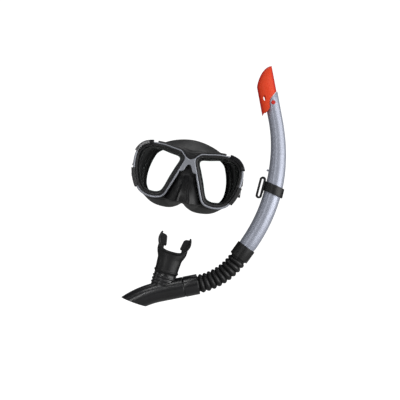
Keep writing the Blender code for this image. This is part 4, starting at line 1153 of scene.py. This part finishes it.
def guard_sleeve():
    """The guard's plug inside the tube, with a peg through the tube on either side."""
    outer, inner = 8.5, 7.1
    start, end = GUARD_T0 + TUBE_ARC + 2, GUARD_T0 + TUBE_ARC + 19.6
    section = [(start, outer), (end, outer), (end, inner), (start, inner)]
    made = loft("guard_plug", [tube_ring(s, r) for s, r in section], True)
    profile = [(0, 2.3), (4.7, 2.3), (4.75, 2.9), (5.1, 3.0)]
    profile += [(5.3, 2.7), (5.3, 2.1), (5.0, 1.8), (5.0, 0.5)]
    pegs = []
    for name, sign in (("front", -1), ("back", 1)):
        start, end = guard_place(PEG_P, PEG_T, sign * 5.6), guard_place(PEG_P, PEG_T, sign * 12)
        pegs.append(bar(f"{name}_peg", start, end, profile))
    combine(made, pegs)
    # The plug and its pegs are the same orange plastic, darkened by painted shade for where they sit inside
    # the tube.
    finish_piece(made, RED_PAINTED_SHADE, "snorkel", "orange_plastic", "guard_sleeve")


# ---------------- keeper
KEEPER_AT = TUBE_BEND * (math.radians(-3.0) - TUBE_LOW)  # along the tube
KEEPER_SLANT = -math.tan(math.radians(10))
KEEPER_BORE, KEEPER_OUTER, KEEPER_HALF = TUBE_R_MID + 0.6, 15.7, 7.0
LOOP_CENTRE, LOOP_TILT = Vector((110.6, -5.2)), math.radians(-3.5)


def keeper_outline(half_width, half_height):
    """A tilted slot shape: two half rounds joined by straight sides."""
    points = []
    for k in range(48):
        turn = 2 * math.pi * (k + 0.5) / 48
        x = half_width * math.cos(turn)
        z = half_width * math.sin(turn) + math.copysign(half_height - half_width, math.sin(turn))
        c, s = math.cos(LOOP_TILT), math.sin(LOOP_TILT)
        points.append(LOOP_CENTRE + Vector((x * c - z * s, x * s + z * c)))
    return points


def keeper():
    corners = [(KEEPER_BORE, -KEEPER_HALF), (KEEPER_OUTER, -KEEPER_HALF)]
    corners += [(KEEPER_OUTER, KEEPER_HALF), (KEEPER_BORE, KEEPER_HALF)]
    section = rounded(corners, 0.8, True, 4)
    made = loft("keeper_band", [tube_ring(KEEPER_AT, p.x, KEEPER_SLANT, p.y) for p in section], True)
    holes = [keeper_outline(1.6, 13.4)]
    ring = plate("keeper_loop", keeper_outline(4.5, 16.6), holes, (-6, 6), 0.5, on_snorkel, 2.0, 0.5)
    neck = block("keeper_neck", (113.2, -12.5, -5.2), (115.3, 4.5, 5.2), on_snorkel, 0.5)
    combine(made, [ring, neck])
    finish_piece(made, SILICONE, "keeper", "black_silicone", "snorkel_keeper")


# ---------------- hose, coupling and barrel
CUFF_LENGTH = 24.0
HOSE_BEND, HOSE_TURN = 93.0, math.radians(42.55)
HOSE_END = CUFF_LENGTH + HOSE_BEND * HOSE_TURN
RINGS, RING_POINTS = 9, 20
RING_OUT, RING_IN = 14.0, 11.1
RING_ROUND = 0.42  # below 1, the crests are wide and the grooves narrow
HOSE_WALL = 1.5
SPIGOT, SPIGOT_R = 9.0, 12.0  # how far the hose reaches into the coupling, and its radius there
COUPLING_LENGTH, COUPLING_BORE, COUPLING_R = 22.0, 12.35, 15.2
BARREL_R, BARREL_WALL = 15.0, 1.8
BARREL_START = HOSE_END + COUPLING_LENGTH + 0.4
BARREL_STRAIGHT, BARREL_LENGTH = 60.0, 100.0
BARREL_CURL, BARREL_STEP = math.radians(0.43), 2.0
BARREL_CUT = [(11, -216.5), (11, -260), (-97, -260), (-97, -198.5)]  # below the slanted open end
PORT_R, PORT_RIB, PORT_RIBS = 16.8, 18.2, (-15.2, -10.2, -5.2)  # the mouthpiece's port and its ribs
PORT_FLAT = 0.75  # depth of the port, as a share of its width
THROAT_R, STUB_R, STUB_BORE_R = 10.2, 11.5, 9.9  # bore of the barrel's spigot, and the tube inside the port


def rotate(v, turn):
    """Turns a vector of the XZ plane clockwise as seen from the front."""
    c, s = math.cos(turn), math.sin(turn)
    return Vector((v.x * c + v.z * s, 0, -v.x * s + v.z * c))


def normal_of(along):
    """The normal on the side towards the mask, which is up where the barrel runs to the left."""
    return Vector((along.z, 0, -along.x))


def run_frame(s):
    """Centre, direction and upper normal along the hose and barrel, s from the tube's visible lower end."""
    start, up, _ = tube_frame(0.0)
    down = -up
    if s <= CUFF_LENGTH:
        return start + down * s, down, normal_of(down)
    start = start + down * CUFF_LENGTH
    s -= CUFF_LENGTH
    turned = min(s / HOSE_BEND, HOSE_TURN)
    centre = start + normal_of(down) * HOSE_BEND
    along = rotate(down, turned)
    point = centre - normal_of(along) * HOSE_BEND
    s -= turned * HOSE_BEND
    if s <= 0:
        return point, along, normal_of(along)
    straight = min(s, BARREL_STRAIGHT)
    point = point + along * straight
    s -= straight
    while s > 0:
        length = min(BARREL_STEP, s)
        along = rotate(along, -BARREL_CURL * length)
        point = point + along * length
        s -= length
    return point, along, normal_of(along)


def run_ring(s, radius):
    centre, _, up = run_frame(s)
    return oval(centre, up * radius, BACK * radius, ROUND)


def hose():
    """The cuff over the tube, the rings, and the spigot inside the coupling, as one wall."""
    outer = rounded([(0.5, 13.4), (0.5, 14.7), (20.8, 14.7), (21.4, RING_IN)], 0.7, False, 4)
    pitch = (HOSE_END - CUFF_LENGTH) / RINGS
    for k in range(RINGS * RING_POINTS + 1):
        swing = 0.5 - 0.5 * math.cos(2 * math.pi * k / RING_POINTS)
        radius = RING_IN + (RING_OUT - RING_IN) * swing ** RING_ROUND
        outer.append((CUFF_LENGTH - 0.6 + pitch * k / RING_POINTS, radius))
    outer += [(HOSE_END + 0.5, RING_IN + 0.2), (HOSE_END + 0.6, SPIGOT_R), (HOSE_END + SPIGOT, SPIGOT_R)]
    inner = [(HOSE_END + SPIGOT, 10.4)]
    bore, start = RING_IN - HOSE_WALL, CUFF_LENGTH + 4
    inner += [(HOSE_END + (start - HOSE_END) * k / 12, bore) for k in range(13)]
    inner += [(19, TUBE_R_LOW + 0.35), (0.5, TUBE_R_LOW + 0.35)]
    made = loft("hose_ringed", [run_ring(s, r) for s, r in outer + inner], True, 60)
    made.data.materials.append(SILICONE)
    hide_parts("corrugated_hose")
    start, end = run_frame(CUFF_LENGTH)[0], run_frame(HOSE_END)[0]
    metres(start)
    metres(end)
    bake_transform(made)


def coupling():
    start, end = HOSE_END + 0.8, HOSE_END + COUPLING_LENGTH
    corners = [(start, COUPLING_BORE), (start, COUPLING_R), (end, COUPLING_R), (end, COUPLING_BORE)]
    made = loft("coupling_collar", [run_ring(s, r) for s, r in rounded(corners, 0.7, True, 4)], True)
    finish_piece(made, SMOOTH, "hose_end", "black_plastic", "hose_coupling")


MOUTH_FOOT = joint_place("mouthpiece_swivel")
MOUTH_AXIS = joint_axis("mouthpiece_swivel")
MOUTH_ACROSS = Vector((MOUTH_AXIS.z, 0, -MOUTH_AXIS.x))


def on_mouth(w, m, y):
    """A point of the mouthpiece: w across its neck, m along it."""
    return MOUTH_FOOT + MOUTH_ACROSS * w + MOUTH_AXIS * m + BACK * y


def mouth_ring(m, wide, deep):
    return oval(on_mouth(0, m, 0), MOUTH_ACROSS * wide, BACK * deep, ROUND)


def barrel():
    """The curved barrel with its spigot and its ribbed port, hollow, and cut off at a slant."""
    along = [BARREL_START + 4 + (BARREL_LENGTH - 4) * k / 24 for k in range(25)]
    profile = [(HOSE_END + 10.5, SPIGOT_R), (BARREL_START - 0.1, SPIGOT_R), (BARREL_START, BARREL_R - 0.8)]
    profile += [(BARREL_START + 0.25, BARREL_R - 0.3), (BARREL_START + 0.8, BARREL_R)]
    made = loft("barrel_shell", [run_ring(s, r) for s, r in profile + [(s, BARREL_R) for s in along]])
    ribs = [(-26, PORT_R)]
    for crest in PORT_RIBS:
        ribs += [(crest - 1.5, PORT_R), (crest - 0.7, PORT_RIB)]
        ribs += [(crest + 0.7, PORT_RIB), (crest + 1.5, PORT_R)]
    ribs.append((-0.3, PORT_R))
    boss = loft("port_boss", [mouth_ring(m, r, r * PORT_FLAT) for m, r in rounded(ribs, 0.6, False, 3)])
    stub = loft("port_stub", [mouth_ring(m, STUB_R, STUB_R) for m in (-6, 13)])
    inside_r = BARREL_R - BARREL_WALL
    cavity = [(HOSE_END + 8, THROAT_R), (BARREL_START + 1, THROAT_R)]
    cavity += [(s, inside_r) for s in along[1:] + [along[-1] + 6]]
    hollow = loft("barrel_cavity", [run_ring(s, r) for s, r in cavity])
    bore = loft("port_bore", [mouth_ring(m, STUB_BORE_R, STUB_BORE_R) for m in (-25, 16)])
    slash = cutter("end_slash", [Vector(p) for p in BARREL_CUT], on_snorkel, half=30, step=20.0)
    combine(made, [boss, stub], [hollow, bore, slash])
    even_shading(made)
    finish_piece(made, SMOOTH, "barrel", "black_plastic", "purge_barrel")


PURGE_AT = HOSE_END + 78.0
SEAT_R, SEAT_HALF = 12.6, 1.2
SEAT_HOLES, SEAT_HOLE_R, SEAT_RING_R = 6, 2.7, 7.4


def purge_valve():
    """The one-way drain inside the barrel: a seat with holes, and a thin disc on a stem."""
    centre, along, up = run_frame(PURGE_AT)

    def place(x, z, depth):
        return centre + up * x + Vector((0, z, 0)) + along * depth

    turns = [2 * math.pi * k / SEAT_HOLES for k in range(SEAT_HOLES)]
    spots = [(SEAT_RING_R * math.cos(turn), SEAT_RING_R * math.sin(turn)) for turn in turns]
    holes = [circle(SEAT_HOLE_R, 24, *spot) for spot in spots] + [circle(1.7, 20)]
    seat = plate("valve_grid", circle(SEAT_R, 72), holes, (-SEAT_HALF, SEAT_HALF), 0.3, place)
    finish_piece(seat, SATIN, "barrel", "black_plastic", "purge_seat")
    section = rounded([(1.5, 0.0), (1.5, 11.0), (2.2, 11.0), (3.0, 3.5), (3.0, 0.0)], 0.3, False, 4)
    rings = [[place(p.x, p.y, depth) for p in circle(max(radius, 0.2), 72)] for depth, radius in section]
    disc = loft("valve_disc", rings)
    stem = bar("valve_stem", place(0, 0, -3.6), place(0, 0, 2.6), [(0, 1.2), (0.3, 1.45), (6.2, 1.45)])
    combine(disc, [stem])
    finish_piece(disc, SILICONE, "valve", "black_silicone", "purge_diaphragm")


# ---------------- mouthpiece
# The neck as (along, half width, half depth), and its bore likewise.
NECK = [
    (0.2, 17.0, 13.5), (2.2, 17.2, 13.6), (3.0, 18.6, 14.6), (4.6, 18.6, 14.6), (5.4, 17.2, 13.6),
    (11.2, 17.4, 13.4), (16, 17.8, 13.0), (23, 18.3, 12.4), (29, 20.9, 12.5), (33.5, 22.3, 12.6),
    (38, 22.6, 12.0), (44, 22.3, 10.0),
]
NECK_BORE = [(-3, 11.85, 11.85), (14.5, 11.85, 11.85), (17, 13.6, 9.6), (28, 14.4, 9.2), (40, 14.8, 9.0)]
# Right half of the lip flange's middle, as (across, along, half height), and a bite tab.
FLANGE = [
    (0, 32.4, 14), (9, 33, 14), (16, 35.6, 13), (21, 41.5, 11), (23.6, 49, 9.5), (23, 55.5, 7.5),
    (21.3, 60, 4.5),
]
FLANGE_HALF = 1.3
BITE_TAB = [
    (22.4, 45), (20.4, 40.5), (15.5, 35.2), (12.2, 34.4), (10.4, 42), (12.6, 54), (15, 56.5), (21.8, 57.5),
]
BITE_HALF = 4.0


def flange_path():
    half = catmull(FLANGE, 8, False)
    return [Vector((-p[0], p[1], p[2])) for p in half[:0:-1]] + half


def lip_flange():
    """The curved flange behind the lips: a flattened bar along its middle line."""
    path = flange_path()
    rings = []
    for i, p in enumerate(path):
        a, b = path[max(i - 1, 0)], path[min(i + 1, len(path) - 1)]
        along = Vector((b[0] - a[0], b[1] - a[1])).normalized()
        out = Vector((along.y, -along.x)) * FLANGE_HALF
        ring = []
        for c, s in circle(1.0, 32):
            lift = math.copysign(abs(s) ** 0.5, s) * p[2]
            thick = math.copysign(abs(c) ** 0.6, c)
            ring.append(on_mouth(p[0] + out.x * thick, p[1] + out.y * thick, lift))
        rings.append(ring)
    return loft("lip_flange", rings)


def mouthpiece():
    """The neck is cut off along the middle of the flange, which then closes it towards the lips."""
    stem = loft("mouth_neck", [mouth_ring(*n) for n in rounded(NECK, 0.8, False, 3)])
    saddle = [Vector((p[0], p[1])) for p in reversed(flange_path())]
    combine(stem, [], [cutter("saddle", saddle, on_mouth, step=3.0)])
    tabs = []
    for name, sign in (("near", 1), ("far", -1)):
        outline = rounded([(x * sign, m) for x, m in BITE_TAB], 0.8, True, 4)
        depth = (-BITE_HALF, BITE_HALF)
        tabs.append(plate(f"bite_tab_{name}", outline, [], depth, 0.8, on_mouth, 2.5, 0.8))
    hollow = loft("mouth_bore", [mouth_ring(*n) for n in NECK_BORE])
    made = gather("mouthpiece_skin", stem, lip_flange(), *tabs)
    soften(made, 0.42, 1)
    combine(made, [], [hollow])
    soften(made, 0.4, 2)
    finish_piece(made, SILICONE, "mouthpiece_body", "black_silicone", "mouthpiece")


# ---------------- the object
front_bezel()
rear_frame()
skirt()
strap()
for which in SIGN:
    lens_and_retainer(which)
    corner_guard(which)
    buckle_mount(which)
    buckle_body(which)
    strap_roller(which)
    release_button(which)
    pivot_pin(which)
snorkel_tube()
splash_guard()
guard_sleeve()
keeper()
hose()
coupling()
barrel()
purge_valve()
mouthpiece()


# ---------------- studio
VIEW_ROLL = math.radians(11.1)
VIEW_SPAN = 0.588  # width of view at the object, in metres
VIEW_DISTANCE = 1.5
VIEW_CENTRE = Vector((0.0257, 0.0, -0.0518))
SENSOR = 36.0
PAPER_DIM, PAPER_GLOW = 0.33, 1.0
FLOOR_GAP, FLOOR_HALF = 0.14, 6.0  # room below the object for the bent hose, and half the floor's width
WHITE, COOL = (1.0, 1.0, 1.0, 1.0), (0.93, 0.96, 1.0, 1.0)
SKY_LIGHT, SKY_MIRRORED, BACKDROP = 0.3, 0.1, 1.1
AIM = Vector((0.03, 0.03, -0.04))
# Area lights: name, place, size and power.
LIGHTS = [
    ("key", (1.15, -0.55, 0.35), (1.5, 1.1), 16.0),
    ("lower_right", (1.0, -0.6, -0.14), (1.2, 0.36), 6.0),
    ("front", (0.35, -1.3, 0.9), (0.7, 0.5), 6.0),
    ("strip", (-0.5, -1.1, 0.1), (0.05, 0.9), 3.0),
    ("side", (-1.1, -0.35, 0.1), (0.25, 0.9), 1.4),
    ("top", (0.0, 0.45, 1.0), (1.4, 0.4), 4.5),
    ("upper_left", (-0.62, -0.52, 0.92), (0.12, 0.5), 2.0),
]


def mix_by_ray(tree, ray, other, seen):
    """One shader for most rays, and another for the rays of one kind."""
    path = add_node(tree, "ShaderNodeLightPath")
    mix = add_node(tree, "ShaderNodeMixShader")
    tree.links.new(path.outputs[ray], mix.inputs["Fac"])
    tree.links.new(other, mix.inputs[1])
    tree.links.new(seen, mix.inputs[2])
    return mix.outputs["Shader"]


def studio_paper():
    """White paper that looks evenly lit to the camera, and stays dim in the object's reflections."""
    look = Look("studio_paper")
    dim, bright = PAPER_DIM * 0.92, PAPER_DIM * 1.08
    tone = look.ramp(look.noise(6, 2), (0.3, (dim,) * 3), (0.7, (bright,) * 3))
    look.set(Base_Color=tone, Roughness=0.9)
    plain = look.shader.outputs["BSDF"]
    glow = look.node("ShaderNodeEmission", Strength=PAPER_GLOW)
    lit = look.node("ShaderNodeAddShader")
    look.link(glow.outputs["Emission"], lit.inputs[0])
    look.link(plain, lit.inputs[1])
    seen = mix_by_ray(look.tree, "Is Camera Ray", plain, lit.outputs["Shader"])
    look.link(seen, look.out.inputs["Surface"])
    return look.material


def studio_world():
    """Soft light from all round, dimmer where it is mirrored, and a white backdrop for the camera."""
    world = bpy.data.worlds.new("studio_world")
    bpy.context.scene.world = world
    world.use_nodes = True
    tree = world.node_tree
    tree.nodes.remove(tree.nodes["Background"])

    def sky(colour, strength):
        return add_node(tree, "ShaderNodeBackground", Color=colour, Strength=strength).outputs["Background"]

    mixed = mix_by_ray(tree, "Is Glossy Ray", sky(WHITE, SKY_LIGHT), sky(COOL, SKY_MIRRORED))
    mixed = mix_by_ray(tree, "Is Camera Ray", mixed, sky(WHITE, BACKDROP))
    tree.links.new(mixed, tree.nodes["World Output"].inputs["Surface"])


def studio_floor():
    level = cad_bounds[0][2] - FLOOR_GAP
    ends = (-FLOOR_HALF, FLOOR_HALF)
    corners = [Vector((x, y, level)) / MM + ORIGIN for x in ends for y in ends]
    floor = piece("studio_floor", corners, [(0, 2, 3, 1)], 180)
    floor.data.materials.append(studio_paper())
    floor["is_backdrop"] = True


def area_light(name, place, size, power):
    lamp = bpy.data.lights.new(name, "AREA")
    lamp.shape = "RECTANGLE"
    lamp.size, lamp.size_y = size
    lamp.energy = power
    made = bpy.data.objects.new(name, lamp)
    made.location = place
    made.rotation_euler = (AIM - Vector(place)).to_track_quat("-Z", "Y").to_euler()
    bpy.context.scene.collection.objects.link(made)


def camera():
    lens = bpy.data.cameras.new("camera")
    lens.sensor_width = SENSOR
    lens.lens = SENSOR * VIEW_DISTANCE / VIEW_SPAN
    holder = bpy.data.objects.new("camera", lens)
    holder.location = VIEW_CENTRE - BACK * VIEW_DISTANCE
    holder.rotation_euler = (math.pi / 2, 0, 0)
    holder.rotation_euler.rotate_axis("Z", VIEW_ROLL)
    bpy.context.scene.collection.objects.link(holder)
    bpy.context.scene.camera = holder
    bpy.context.scene.view_settings.view_transform = "Standard"


studio_floor()
studio_world()
for light in LIGHTS:
    area_light(*light)
camera()

sizes = {"cad": cad_bounds, "visual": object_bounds()}
{name: [list(corner) for corner in corners] for name, corners in sizes.items()}
